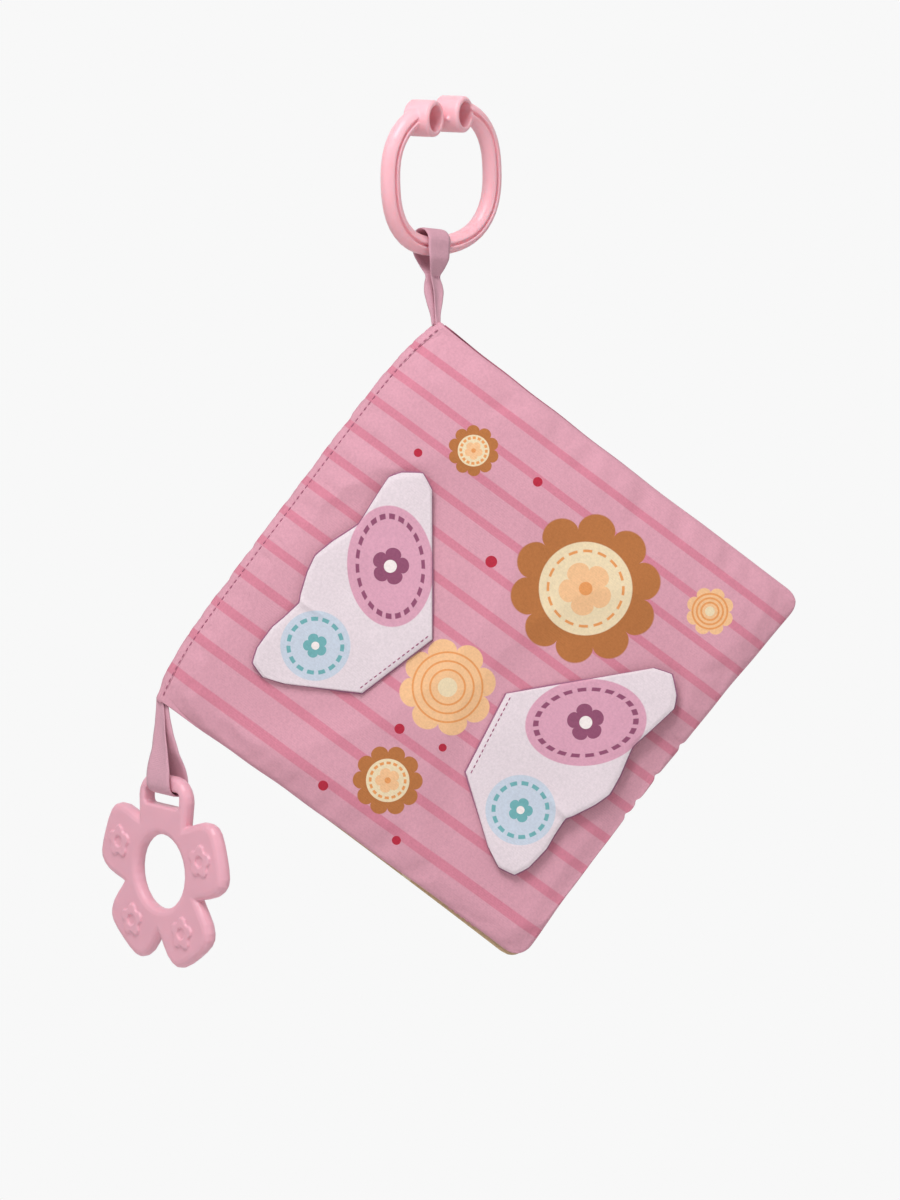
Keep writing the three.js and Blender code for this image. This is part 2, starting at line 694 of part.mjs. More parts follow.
const book = group(bookOrigin, bookTurn);
add(book, 'spine_fold', spineFold(), finishes.pinkCloth);
add(book, 'sewn_leaf_edges', sewnLeafEdges(), finishes.pageCloth);
for (const [coverName, leafName, side, crown, steps, sag] of [
  ['front_cover', 'leaf_1', -1, swell, frontSteps, leafSag],
  ['back_cover', 'leaf_2', 1, flatSwell, backSteps, 0],
]) {
  const inner = [innerSteps, leafInset, leafInner, leafInnerTop, side, sag];
  const outer = [innerSteps, leafInset, leafOuter, leafOuterTop, side, sag];
  const [frontCloth, backCloth] = side < 0 ? [outer, inner] : [inner, outer];
  const filmInset = waddingInset;
  add(book, `${leafName}_front_cloth`, panel(...frontCloth), finishes.pageCloth);
  add(book, `${leafName}_film`, panel(filmSteps, filmInset, leafFilm, leafFilmTop, side, sag), finishes.film);
  add(book, `${leafName}_back_cloth`, panel(...backCloth), finishes.pageCloth);
  add(book, `${coverName}_lining`, panel(innerSteps, 0, lining, liningTop, side), finishes.pageCloth);
  add(book, `${coverName}_film`, panel(filmSteps, filmInset, coverFilm, coverFilmTop, side), finishes.film);
  const padding = panel(innerSteps, waddingInset, wadding, waddingTop(crown), side);
  add(book, `${coverName}_wadding`, padding, finishes.wadding);
  add(book, `${coverName}_cloth`, panel(steps, 0, cover(crown), coverTop(crown), side), finishes.pinkCloth);
}
for (const [name, hand] of [['left_wing', -1], ['right_wing', 1]]) {
  const sheets = wingSheets(hand);
  add(book, `${name}_front_cloth`, sheets.front_cloth, finishes.wingCloth);
  add(book, `${name}_film`, sheets.film, finishes.film);
  add(book, `${name}_back_cloth`, sheets.back_cloth, finishes.mauveCloth);
}
add(root, 'teether_tape', teetherTape(), finishes.tape);
add(group(teetherOrigin, teetherTurn), 'teether', teether(), finishes.teetherPlastic);

export default root;
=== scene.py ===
import math

import bmesh
import bpy
from mathutils import Matrix, Vector, noise


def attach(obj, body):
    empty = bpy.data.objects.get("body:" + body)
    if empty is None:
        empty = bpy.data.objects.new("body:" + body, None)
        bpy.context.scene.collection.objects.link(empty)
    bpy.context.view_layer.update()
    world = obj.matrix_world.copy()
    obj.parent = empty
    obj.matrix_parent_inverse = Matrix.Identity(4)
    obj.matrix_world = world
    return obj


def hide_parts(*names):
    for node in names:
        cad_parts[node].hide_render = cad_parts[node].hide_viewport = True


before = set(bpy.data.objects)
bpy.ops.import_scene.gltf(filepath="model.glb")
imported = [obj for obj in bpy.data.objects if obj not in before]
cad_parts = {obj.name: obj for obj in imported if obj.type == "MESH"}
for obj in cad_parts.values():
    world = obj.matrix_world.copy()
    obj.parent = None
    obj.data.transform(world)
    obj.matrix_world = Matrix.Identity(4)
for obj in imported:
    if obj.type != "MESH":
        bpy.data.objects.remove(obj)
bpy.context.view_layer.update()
bpy.ops.object.select_all(action="DESELECT")

# The photograph was taken from 1.2 m in front of the cover, level with the book's middle
cameraView = {
    "place": (0.00353, -1.19241, -0.1728),
    "distance": 1.2,
    "height": 0.4483,  # how much the frame takes in at the cover
    "sensor": 36,
}
cameraData = bpy.data.cameras.new("camera")
cameraData.sensor_fit = "VERTICAL"
cameraData.sensor_height = cameraView["sensor"]
cameraData.lens = cameraView["sensor"] * cameraView["distance"] / cameraView["height"]
camera = bpy.data.objects.new("camera", cameraData)
camera.location = cameraView["place"]
camera.rotation_euler = (math.radians(90), 0, 0)
bpy.context.collection.objects.link(camera)
bpy.context.scene.camera = camera
print("camera placed")


# Colours are written as sRGB hex
def colour(hexValue):
    channels = [int(hexValue[k : k + 2], 16) / 255 for k in (1, 3, 5)]
    linear = [c / 12.92 if c <= 0.04045 else ((c + 0.055) / 1.055) ** 2.4 for c in channels]
    return (*linear, 1)


# Adds one node. Inputs are given in order or by name, as values, sockets or nodes.
def addNode(tree, kind, *inputs, named=(), **settings):
    node = tree.nodes.new("ShaderNode" + kind)
    for name, value in settings.items():
        setattr(node, name, value)
    for socket, value in [*enumerate(inputs), *dict(named).items()]:
        if value is None:
            continue
        if isinstance(value, bpy.types.Node):
            value = value.outputs[0]
        if isinstance(value, bpy.types.NodeSocket):
            tree.links.new(value, node.inputs[socket])
        else:
            node.inputs[socket].default_value = value
    return node


def newMaterial(name):
    material = bpy.data.materials.new(name)
    material.use_nodes = True
    material.node_tree.nodes.clear()
    return material, material.node_tree


def finishMaterial(material, shader):
    addNode(material.node_tree, "OutputMaterial", shader)
    return material


# The book's own frame: x from the spine to the fore edge, y into the book, z up the spine, in
# millimetres from the middle of the spine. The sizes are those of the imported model.
book = {
    "origin": (-53.9357, 7.5907, -138.9207),
    "tilt": 36.9,
    "spineLength": 175,
    "foreEdgeLength": 170.4,
    "width": 169.4,
    "seamInset": 3.4,
    "layerGap": 0.3,
    "spineBow": 4.8,
    "cornerRadius": 6.5,
    "foreLift": 1.2,
    "foreSkew": 1.8,
    "foreDraw": 2,
    "sideDraw": 0.6,
    "crown": 2.4,
    # short seams across the layers draw the fore edge in at these heights
    "notches": (15.7, 1.1, -10.7, -17.1),
    "notchDepth": 0.95,
}
bookFrame = (
    Matrix.Translation(Vector(book["origin"]) / 1000)
    @ Matrix.Rotation(math.radians(book["tilt"]), 4, "Y")
    @ Matrix.Scale(0.001, 4)
)
worldFrame = Matrix.Scale(0.001, 4)


def mix(a, b, share):
    return a + (b - a) * share


def clamp(value, low=0.0, high=1.0):
    return max(low, min(high, value))


def smooth(value, low, high):
    share = clamp((value - low) / (high - low))
    return share * share * (3 - 2 * share)


def bump(value, centre, width):
    return math.exp(-(((value - centre) / width) ** 2))


# Soft noise from -1 to 1 over two lengths in millimetres
def wobble(x, z, size, seed):
    return noise.noise(Vector((x / size, z / size, seed)))


def arch(share):
    return 4 * share * (1 - share)


def spineEdge(z):
    return book["spineBow"] * (min(abs(2 * z / book["spineLength"]), 1) ** 6 - 1)


def halfHeight(x):
    return mix(book["spineLength"], book["foreEdgeLength"], x / book["width"]) / 2


panelStart = book["seamInset"] + book["layerGap"]


def foreNotch(z, fore):
    return sum(bump(z, at + 0.12 * fore, 1.2 + 0.08 * fore) for at in book["notches"])


# A place on a panel, set in from its edges
def panelPlace(u, v, inset=0.0, sag=0.0):
    start = panelStart + inset + spineEdge(mix(-1, 1, v) * (book["spineLength"] / 2 - inset))
    across = mix(start, book["width"] - inset, u)
    half = halfHeight(across) - inset
    along = mix(-half, half, v)
    outX = across - (book["width"] - inset - book["cornerRadius"])
    outZ = abs(along) - (half - book["cornerRadius"])
    turn = max(outX, outZ) / math.hypot(outX, outZ) if outX > 0 and outZ > 0 else 1
    x = across - max(outX, 0) * (1 - turn)
    z = along - math.copysign(max(outZ, 0) * (1 - turn), along)
    shiftX = book["foreSkew"] * mix(-1, 1, v) * u - book["foreDraw"] * u * u * arch(v)
    shiftZ = (book["foreLift"] - sag) * u - book["sideDraw"] * mix(-1, 1, v) * arch(u)
    fore = (1 - u) * book["width"]
    notch = book["notchDepth"] * foreNotch(z + shiftZ, fore) * math.exp(-fore / 5)
    return x + shiftX - notch, z + shiftZ


# Distances from the spine seam, the fore edge, and the nearer side
def edgeDistances(x, z):
    share = x / book["width"]
    off = (z - book["foreLift"] * share) / halfHeight(x)
    fore = book["width"] + book["foreSkew"] * off - book["foreDraw"] * arch((off + 1) / 2)
    return (
        x - panelStart - spineEdge(z),
        fore - x,
        (1 - abs(off)) * halfHeight(x) - book["sideDraw"] * arch(clamp(share)),
    )


def fullness(x, z, band=8.0):
    full = 1.0
    for distance in edgeDistances(x, z):
        full *= smooth(distance, 0, band)
    return full


def swell(x, z):
    start = panelStart + spineEdge(z)
    across = math.sin(math.pi * clamp((x - start) / (book["width"] - start)))
    along = math.cos(math.pi / 2 * clamp(abs(z) / halfHeight(x)))
    return max(across * along, 0.0) ** 0.75


def deselectAll():
    if bpy.context.object and bpy.context.object.mode != "OBJECT":
        bpy.ops.object.mode_set(mode="OBJECT")
    bpy.ops.object.select_all(action="DESELECT")


def selectOnly(piece):
    deselectAll()
    piece.select_set(True)
    bpy.context.view_layer.objects.active = piece


def pieceFrom(name, points, faces, place, material):
    mesh = bpy.data.meshes.new(name)
    mesh.from_pydata([place @ Vector(p) for p in points], [], faces)
    shell = bmesh.new()
    shell.from_mesh(mesh)
    bmesh.ops.recalc_face_normals(shell, faces=shell.faces)
    shell.to_mesh(mesh)
    shell.free()
    mesh.shade_smooth()
    piece = bpy.data.objects.new(name, mesh)
    bpy.context.collection.objects.link(piece)
    mesh.materials.append(material)
    return piece


def applyModifier(piece, kind, **settings):
    modifier = piece.modifiers.new(kind.lower(), kind)
    for name, value in settings.items():
        setattr(modifier, name, value)
    selectOnly(piece)
    bpy.ops.object.modifier_apply(modifier=modifier.name)


# Cloth with two faces that are closed along its rim, over a grid of shares
def closedSheet(columns, rows, near, far):
    count = len(rows)
    points = [near(u, v) for u in columns for v in rows]
    points += [far(u, v) for u in columns for v in rows]
    half = len(columns) * count
    faces = []
    for i in range(len(columns) - 1):
        for j in range(count - 1):
            a = i * count + j
            b = a + count
            faces.append((a, b, b + 1, a + 1))
            faces.append((half + a, half + a + 1, half + b + 1, half + b))
    rim = [i * count for i in range(len(columns))]
    rim += [(len(columns) - 1) * count + j for j in range(1, count)]
    rim += [i * count + count - 1 for i in range(len(columns) - 2, -1, -1)]
    rim += [j for j in range(count - 2, 0, -1)]
    for a, b in zip(rim, rim[1:] + rim[:1]):
        faces.append((b, a, half + a, half + b))
    return points, faces


# Shares from 0 to 1, with a few close together at both ends for a round edge
def edgedShares(count, edge=(0.0, 0.0022, 0.006, 0.013)):
    inner = [mix(0.024, 0.976, k / count) for k in range(count + 1)]
    return [*edge, *inner, *[1 - share for share in reversed(edge)]]


# Faces round a tube of sections, closed at both ends
def tubeFaces(sections, count):
    faces = []
    for k in range(sections - 1):
        for i in range(count):
            j = (i + 1) % count
            faces.append((k * count + i, k * count + j, (k + 1) * count + j, (k + 1) * count + i))
    faces.append(tuple(range(count)))
    faces.append(tuple((sections - 1) * count + i for i in range(count)))
    return faces


weaveSpacing = 0.8
waveScale = 0.31416  # a wave texture of this scale repeats once a millimetre, or twice that on the slant


# Woven cotton. The threads of the real cloth are about 0.3 mm apart, too fine for the picture, so
# the weave is drawn wider. Its colour comes in as a socket or as linear numbers.
def clothShader(tree, place, base, roughness=0.85, sheen=0.12, strength=0.25):
    waves = [
        addNode(
            tree, "TexWave", bands_direction=axis,
            named={"Vector": place, "Scale": waveScale / weaveSpacing, "Distortion": 0.6, "Detail": 1.0,
                   "Detail Scale": 2.0},
        ).outputs["Fac"]
        for axis in ("X", "Z")
    ]
    weave = addNode(tree, "Math", *waves, operation="MULTIPLY")
    grain = {"Vector": place, "Scale": 1.1, "Detail": 4.0, "Roughness": 0.6}
    fuzz = addNode(tree, "TexNoise", named=grain)
    height = addNode(tree, "Math", weave, 0.6, fuzz, operation="MULTIPLY_ADD")
    relief = addNode(tree, "Bump", named={"Strength": strength, "Distance": 0.0002, "Height": height})
    patches = addNode(tree, "TexNoise", named={"Vector": place, "Scale": 0.03, "Detail": 2.0})
    shades = [
        addNode(tree, "MapRange", value, 0.3, 0.7, 1 - spread, 1 + spread)
        for value, spread in [(patches, 0.03), (fuzz, 0.07)]
    ]
    shade = addNode(tree, "Math", *shades, operation="MULTIPLY")
    tinted = addNode(tree, "VectorMath", base, operation="SCALE", named={"Scale": shade})
    return addNode(
        tree, "BsdfPrincipled",
        named={"Base Color": tinted, "Roughness": roughness, "Sheen Weight": sheen,
               "Sheen Roughness": 0.5, "Normal": relief, "IOR": 1.45, "Specular IOR Level": 0.3},
    )


# Book millimetres on any piece, from its Object coordinates
def bookPlace(tree):
    coordinates = addNode(tree, "TexCoord").outputs["Object"]
    turn = (0, -math.radians(book["tilt"]), 0)
    return addNode(tree, "Mapping", coordinates, bookFrame.inverted().translation, turn, (1000, 1000, 1000))


# A flat place in millimetres for a print: across and up the book
def bookFlat(tree):
    place = bookPlace(tree)
    parts = addNode(tree, "SeparateXYZ", place)
    return place, addNode(tree, "CombineXYZ", parts.outputs["X"], parts.outputs["Z"])


inkBleed = 0.012


# A print's own place, and its length, which is 1 on an oval of the given reach
def ownPlace(tree, flat, centre, reach, turn):
    turned = (0, 0, math.radians(turn))
    own = addNode(tree, "Mapping", flat, (*centre, 0), turned, (*reach, 1), vector_type="TEXTURE")
    return own, addNode(tree, "VectorMath", own, operation="LENGTH").outputs["Value"]


def angleOf(tree, own):
    parts = addNode(tree, "SeparateXYZ", own)
    return addNode(tree, "Math", parts.outputs["Y"], parts.outputs["X"], operation="ARCTAN2")


# How far a value is from the middle between two whole numbers
def fromMiddle(tree, value):
    beat = addNode(tree, "Math", value, operation="FRACT")
    middle = addNode(tree, "Math", beat, 0.5, operation="SUBTRACT")
    return addNode(tree, "Math", middle, operation="ABSOLUTE")


# An oval of ink, with an edge that bleeds a little into the cloth
def ovalInk(tree, flat, centre, reach, turn=0.0):
    length = ownPlace(tree, flat, centre, reach, turn)[1]
    edge = (1 - inkBleed, 1 + inkBleed)
    return addNode(tree, "MapRange", length, *edge, 1.0, 0.0, interpolation_type="SMOOTHSTEP")


# A flower of round petals
def bloomInk(tree, flat, centre, reach, petals, depth, turn=0.0):
    own, length = ownPlace(tree, flat, centre, (reach, reach), turn)
    half = addNode(tree, "Math", angleOf(tree, own), petals / 2, operation="MULTIPLY")
    wave = addNode(tree, "Math", half, operation="COSINE")
    lobe = addNode(tree, "Math", wave, operation="ABSOLUTE")
    full = addNode(tree, "Math", lobe, 0.5, operation="POWER")
    edge = addNode(tree, "Math", full, depth, 1 - depth, operation="MULTIPLY_ADD")
    beyond = addNode(tree, "Math", length, edge, operation="SUBTRACT")
    return addNode(tree, "MapRange", beyond, -inkBleed, inkBleed, 1.0, 0.0, interpolation_type="SMOOTHSTEP")


# A ring of printed dashes round an oval
def dashInk(tree, flat, centre, reach, width, dashes, turn=0.0, share=0.62):
    own, length = ownPlace(tree, flat, centre, reach, turn)
    off = addNode(tree, "Math", length, 1.0, operation="SUBTRACT")
    away = addNode(tree, "Math", off, operation="ABSOLUTE")
    half = width / (reach[0] + reach[1])
    band = addNode(tree, "MapRange", away, half * 0.88, half * 1.12, 1.0, 0.0)
    count = addNode(tree, "Math", angleOf(tree, own), dashes / (2 * math.pi), operation="MULTIPLY")
    dash = addNode(tree, "MapRange", fromMiddle(tree, count), share / 2 - 0.03, share / 2 + 0.03, 1.0, 0.0)
    return addNode(tree, "Math", band, dash, operation="MULTIPLY")


# Prints inks one over another, each given as its shape and its colour
def printOver(tree, base, inks):
    for ink, hexValue in inks:
        mixed = addNode(tree, "Mix", named={0: ink, 6: base, 7: colour(hexValue)}, data_type="RGBA")
        base = mixed.outputs[2]
    return base


# Cotton poplin with a reactive print: matt, evenly dyed, the print sunk into the threads. Flowers, discs
# and dots are given as centre, reach and turn in book millimetres and degrees.
coverPrint = {
    "ground": "#D69CAC",
    "stripe": "#D28296",
    "firstStripe": 12,
    "stripeSpacing": 12.4,
    "stripeSlope": 0.00012,
    "stripeNarrowing": 0.0078,
    "stripeHalf": 0.123,
    "brown": "#B4713F",
    "cream": "#EAD6B2",
    "orange": "#EFBE8F",
    "line": "#E4995C",
    "red": "#B5283F",
    # painted shade: a deeper rose over the back cover's cloth, so that its thin edge past the front cover's
    # top edge shows dark
    "deep": "#A5506C",
    "flowers": [((104, 41), 28, 8), ((40, 57), 9.5, 20), ((88, -60), 13, 0)],
    "discs": [((85, -19), 18, 0), ((146, 62), 9, 12)],
    "dots": [
        ((70, 28), 2.2), ((66, 62), 1.8), ((128, 6), 2), ((80, -42), 1.9), ((97, -38), 1.5),
        ((148, 20), 1.6), ((24, 44), 1.6), ((104, -76), 1.7), ((70, -76), 1.9),
    ],
}


# The deep ink goes over the whole cloth at the given share, as painted shade for the back cover's edge
# behind the front cover's top edge.
def printedCotton(name, motifs, paintedShadeShare=0.0):
    inks = coverPrint
    material, tree = newMaterial(name)
    place, flat = bookFlat(tree)
    parts = addNode(tree, "SeparateXYZ", flat)
    first = book["spineLength"] / 2 - inks["firstStripe"]
    down = addNode(tree, "Math", first, parts.outputs["Y"], operation="SUBTRACT")
    slope = addNode(tree, "Math", parts.outputs["X"], inks["stripeSlope"], 1.0, operation="MULTIPLY_ADD")
    fanned = addNode(tree, "Math", down, slope, operation="MULTIPLY")
    count = addNode(tree, "Math", fanned, inks["stripeSpacing"], operation="DIVIDE")
    squared = addNode(tree, "Math", count, count, operation="MULTIPLY")
    bent = addNode(tree, "Math", squared, -inks["stripeNarrowing"], count, operation="MULTIPLY_ADD")
    shifted = addNode(tree, "Math", bent, 0.5, operation="ADD")
    edge = (inks["stripeHalf"] - inkBleed, inks["stripeHalf"] + inkBleed)
    band = addNode(tree, "MapRange", fromMiddle(tree, shifted), *edge, 1.0, 0.0)
    below = addNode(tree, "Math", count, -0.5, operation="GREATER_THAN")
    stripe = addNode(tree, "Math", band, below, operation="MULTIPLY")
    base = printOver(tree, colour(inks["ground"]), [(stripe, inks["stripe"]), (paintedShadeShare, inks["deep"])])
    if motifs:
        for centre, reach, turn in inks["flowers"]:
            base = printOver(tree, base, [
                (bloomInk(tree, flat, centre, reach, 10, 0.22, turn), inks["brown"]),
                (ovalInk(tree, flat, centre, (reach * 0.62,) * 2), inks["cream"]),
                (bloomInk(tree, flat, centre, reach * 0.36, 5, 0.35, turn), inks["orange"]),
                (dashInk(tree, flat, centre, (reach * 0.5,) * 2, 1.0, 16), inks["line"]),
                (ovalInk(tree, flat, centre, (reach * 0.09,) * 2), inks["line"]),
            ])
        for centre, reach, turn in inks["discs"]:
            base = printOver(tree, base, [
                (bloomInk(tree, flat, centre, reach, 8, 0.25, turn), inks["orange"]),
                *[
                    (dashInk(tree, flat, centre, (reach * ring,) * 2, 0.7, 1, share=2.0), inks["line"])
                    for ring in (0.72, 0.54, 0.36)
                ],
                (ovalInk(tree, flat, centre, (reach * 0.2,) * 2), inks["cream"]),
            ])
        for centre, reach in inks["dots"]:
            base = printOver(tree, base, [(ovalInk(tree, flat, centre, (reach, reach)), inks["red"])])
    return finishMaterial(material, clothShader(tree, place, base))


# The flaps. Sizes are in millimetres, and hand is -1 for the left flap and 1 for the right one.
wing = {
    "reach": 57.5,
    "height": 93,
    "seam": 32.8,
    "lean": {-1: 15.7, 1: 9.5},
    "spacing": 41.2,
    "centre": (86, -24),
    "lift": {-1: 3.2, 1: 5},
    "crease": {-1: 0.9, 1: 1.5},
    "seamShare": 0.548,
    "rest": 0.3,  # a flap lies this far above the cover's cloth
    # the outer edge, in shares of the reach and the height
    "edge": [
        (0.765, 0.011), (0.887, 0), (0.974, 0.065), (1, 0.118), (0.939, 0.226), (0.878, 0.328),
        (0.892, 0.452), (0.887, 0.538), (0.835, 0.602), (0.748, 0.677), (0.708, 0.704), (0.694, 0.785),
        (0.689, 0.849), (0.643, 0.946), (0.583, 0.998), (0.47, 1), (0.348, 0.946),
    ],
    "ground": "#E3D5DB",
    "cream": "#F1E6E4",
    "back": "#A26A86",
    "panels": [
        {"centre": (31, -20.5), "reach": (22.5, 16), "turn": -34, "ground": "#D79FB4", "ring": (18.6, 12.2),
         "width": 1.7, "dashes": 22, "ink": "#8E4E6C", "bloom": 7, "bloomTurn": 20, "eye": 2.4},
        {"centre": (24.5, 19.5), "reach": (13, 13), "turn": 0, "ground": "#C6CFDD", "ring": (10, 10),
         "width": 1.5, "dashes": 15, "ink": "#6FABAF", "bloom": 4.6, "bloomTurn": 50, "eye": 1.5},
    ],
}


# Where a flap's seam is, which way it reaches out, and which way is down along it
def wingFrame(hand):
    lean = math.radians(wing["lean"][hand])
    middle = Vector((wing["centre"][0] + hand * wing["spacing"] / 2, 0, wing["centre"][1]))
    out = Vector((hand * math.cos(lean), 0, math.sin(lean)))
    down = Vector((hand * math.sin(lean), 0, -math.cos(lean)))
    return middle, out, down


def wingCotton(name, hand):
    material, tree = newMaterial(name)
    place = bookPlace(tree)
    middle, out, down = wingFrame(hand)
    off = addNode(tree, "VectorMath", place, middle, operation="SUBTRACT")
    reach = addNode(tree, "VectorMath", off, out, operation="DOT_PRODUCT").outputs["Value"]
    drop = addNode(tree, "VectorMath", off, down, operation="DOT_PRODUCT").outputs["Value"]
    flat = addNode(tree, "CombineXYZ", reach, drop)
    base = colour(wing["ground"])
    for panel in wing["panels"]:
        centre, turn = panel["centre"], panel["turn"]
        base = printOver(tree, base, [
            (ovalInk(tree, flat, centre, panel["reach"], turn), panel["ground"]),
            (
                dashInk(tree, flat, centre, panel["ring"], panel["width"], panel["dashes"], turn),
                panel["ink"],
            ),
            (bloomInk(tree, flat, centre, panel["bloom"], 5, 0.35, panel["bloomTurn"]), panel["ink"]),
            (ovalInk(tree, flat, centre, (panel["eye"],) * 2), wing["cream"]),
        ])
    return finishMaterial(material, clothShader(tree, place, base, roughness=0.8, sheen=0.08, strength=0.2))


def plainCotton(name, hexValue):
    material, tree = newMaterial(name)
    return finishMaterial(material, clothShader(tree, bookPlace(tree), colour(hexValue)[:3]))


# Page cotton: undyed beige with a sparse print of small dots
def pageCotton(name):
    material, tree = newMaterial(name)
    place, flat = bookFlat(tree)
    cells = addNode(tree, "TexVoronoi", named={"Vector": flat, "Scale": 0.045, "Randomness": 0.35})
    dot = addNode(tree, "MapRange", cells.outputs["Distance"], 0.085, 0.1, 1.0, 0.0)
    base = printOver(tree, colour("#CDB08C"), [(dot, "#E6D3B4")])
    return finishMaterial(material, clothShader(tree, place, base))


# Polyester sewing thread, spun: a dull shine and a twist about once a millimetre
def sewingThread(name, hexValue):
    material, tree = newMaterial(name)
    twist = addNode(
        tree, "TexWave", bands_direction="DIAGONAL",
        named={"Vector": bookPlace(tree), "Scale": 2 * waveScale, "Distortion": 0.4},
    ).outputs["Fac"]
    relief = addNode(tree, "Bump", named={"Strength": 0.3, "Distance": 0.0001, "Height": twist})
    return finishMaterial(material, addNode(
        tree, "BsdfPrincipled",
        named={"Base Color": colour(hexValue), "Roughness": 0.6, "Sheen Weight": 0.1, "Normal": relief},
    ))


# Polyester wadding: loose white fibres, fully matt
def polyesterWadding(name):
    material, tree = newMaterial(name)
    fibres = addNode(
        tree, "TexNoise",
        named={"Vector": bookPlace(tree), "Scale": 0.8, "Detail": 6.0, "Distortion": 2.0},
    )
    relief = addNode(tree, "Bump", named={"Strength": 0.5, "Distance": 0.0006, "Height": fibres})
    return finishMaterial(material, addNode(
        tree, "BsdfPrincipled",
        named={"Base Color": colour("#F1EFEB"), "Roughness": 0.95, "Normal": relief},
    ))


# Polyethylene crinkle film: thin, milky and glossy, with sharp creases
def crinkleFilm(name):
    material, tree = newMaterial(name)
    creases = addNode(
        tree, "TexVoronoi", feature="DISTANCE_TO_EDGE",
        named={"Vector": bookPlace(tree), "Scale": 0.12, "Randomness": 1.0},
    ).outputs["Distance"]
    relief = addNode(tree, "Bump", named={"Strength": 0.5, "Distance": 0.0008, "Height": creases})
    return finishMaterial(material, addNode(
        tree, "BsdfPrincipled", named={"Base Color": colour("#E9EDF0"), "Roughness": 0.3, "Normal": relief},
    ))


# Injection moulded polypropylene and softer thermoplastic rubber: dyed through, so that light goes a
# little way in, with a fine satin from the mould
def mouldedPlastic(name, hexValue, roughness, depth):
    material, tree = newMaterial(name)
    coordinates = addNode(tree, "TexCoord").outputs["Object"]
    satin = addNode(tree, "TexNoise", named={"Vector": coordinates, "Scale": 900.0, "Detail": 3.0})
    flow = addNode(tree, "TexNoise", named={"Vector": coordinates, "Scale": 60.0, "Detail": 2.0})
    rough, shade = [
        addNode(tree, "MapRange", flow, 0.3, 0.7, low, high)
        for low, high in [(roughness - 0.04, roughness + 0.05), (0.98, 1.02)]
    ]
    relief = addNode(tree, "Bump", named={"Strength": 0.08, "Distance": 0.0002, "Height": satin})
    base = addNode(tree, "VectorMath", colour(hexValue)[:3], operation="SCALE", named={"Scale": shade})
    return finishMaterial(material, addNode(
        tree, "BsdfPrincipled",
        named={"Base Color": base, "Roughness": rough, "Normal": relief, "IOR": 1.49,
               "Subsurface Weight": depth, "Subsurface Radius": (1, 0.45, 0.4), "Subsurface Scale": 0.003},
    ))


# Cotton twill tape. Its weave follows the piece's own map, in millimetres along and across.
def tapeCotton(name, hexValue):
    material, tree = newMaterial(name)
    parts = addNode(tree, "SeparateXYZ", addNode(tree, "UVMap", uv_map="tape"))
    flat = addNode(tree, "CombineXYZ", parts.outputs["X"], 0.0, parts.outputs["Y"])
    shader = clothShader(tree, flat, colour(hexValue)[:3], roughness=0.8, sheen=0.15, strength=0.3)
    return finishMaterial(material, shader)


coverCotton = printedCotton("printed cover cotton", True)
# The back cover is darkened all over with painted shade, which shows as a dark line along its edge behind
# the front cover's top edge
stripedCotton = printedCotton("striped cover cotton", False, 0.75)
beigeCotton = pageCotton("page cotton")
mauveCotton = plainCotton("mauve lining cotton", wing["back"])
leftWingCotton = wingCotton("left flap cotton", -1)
rightWingCotton = wingCotton("right flap cotton", 1)
pinkThread = sewingThread("rose sewing thread", "#CF8AA1")
seamThread = sewingThread("deep rose sewing thread", "#A8607A")
plumThread = sewingThread("plum sewing thread", "#9C5476")
mauveThread = sewingThread("mauve sewing thread", "#A97489")
mauveTape = tapeCotton("mauve cotton tape", "#D3A0AF")
ringPlastic = mouldedPlastic("moulded polypropylene", "#F8BBC5", 0.36, 0.6)
teetherPlastic = mouldedPlastic("moulded teether rubber", "#E9ADBC", 0.38, 0.2)
wadding = polyesterWadding("polyester wadding")
film = crinkleFilm("crinkle film")
print("materials made")


def quickOr(value):
    return value


# Heights of the layers over the middle of the book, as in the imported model
def leafInner(x, z):
    return 0.15


def leafInnerTop(x, z):
    return 0.55


def leafOuter(x, z):
    return 0.85 + 0.5 * fullness(x, z)


def leafOuterTop(x, z):
    return leafOuter(x, z) + 0.4


def lining(x, z):
    return leafOuterTop(x, z) + 0.3


def liningTop(x, z):
    return lining(x, z) + 0.4


# The cover's cloth, on which the flaps lie
def coverTop(x, z):
    return liningTop(x, z) + 0.3 + 1.4 * fullness(x, z) + book["crown"] * swell(x, z) + 0.4


# The covers: padded cloth, closed all round. The crown, the round edges and the puckers are built in,
# and a cloth simulation then fills the front pad. Lengths are in millimetres.
cover = {
    "steps": quickOr(84),
    "back": 2.2,
    "rim": 2.35,
    "puff": 3.5,
    "lap": 0.75,
    "foreOut": 0.3,
    "sideOut": 0.25,
    "peek": 0.9,  # how far the back cover stands out past the top edge at the spine
    # the seam, the fore edge and the sides turn round over this length, then rise over their reach,
    # with the given share of the rise at the turn itself
    "turn": 1.7,
    "edges": [(15, 0.1), (10, 0.35), (10, 0.35)],
    # the seams draw the cloth in, in puckers that run away from them
    "seamPuckers": {"gain": 1.9, "bias": 0.35, "depth": 1.9, "reach": 7, "spread": 9, "start": 3},
    "sidePuckers": {"gain": 1.8, "bias": 0.2, "depth": 0.7, "reach": 8, "spread": 0, "start": 2.5},
    "forePuckers": {"gain": 1.8, "bias": 0.2, "depth": 0.6, "reach": 8, "spread": 0, "start": 2.5},
    # the tapes' corners are gathered: the end of the spine, and how deep
    "gathers": [(1, 1.0), (-1, 0.8)],
    "frames": 20,
    "held": 1.5,  # the simulation holds this much along the seams
    "cap": 0.0009,  # in metres, the furthest that it moves a point
    "fill": {
        "quality": 5, "mass": 0.12, "tension_stiffness": 8, "compression_stiffness": 8,
        "shear_stiffness": 3, "bending_stiffness": 0.05, "use_pressure": True,
        "uniform_pressure_force": 4, "vertex_group_mass": "held", "shrink_min": -0.012,
    },
}


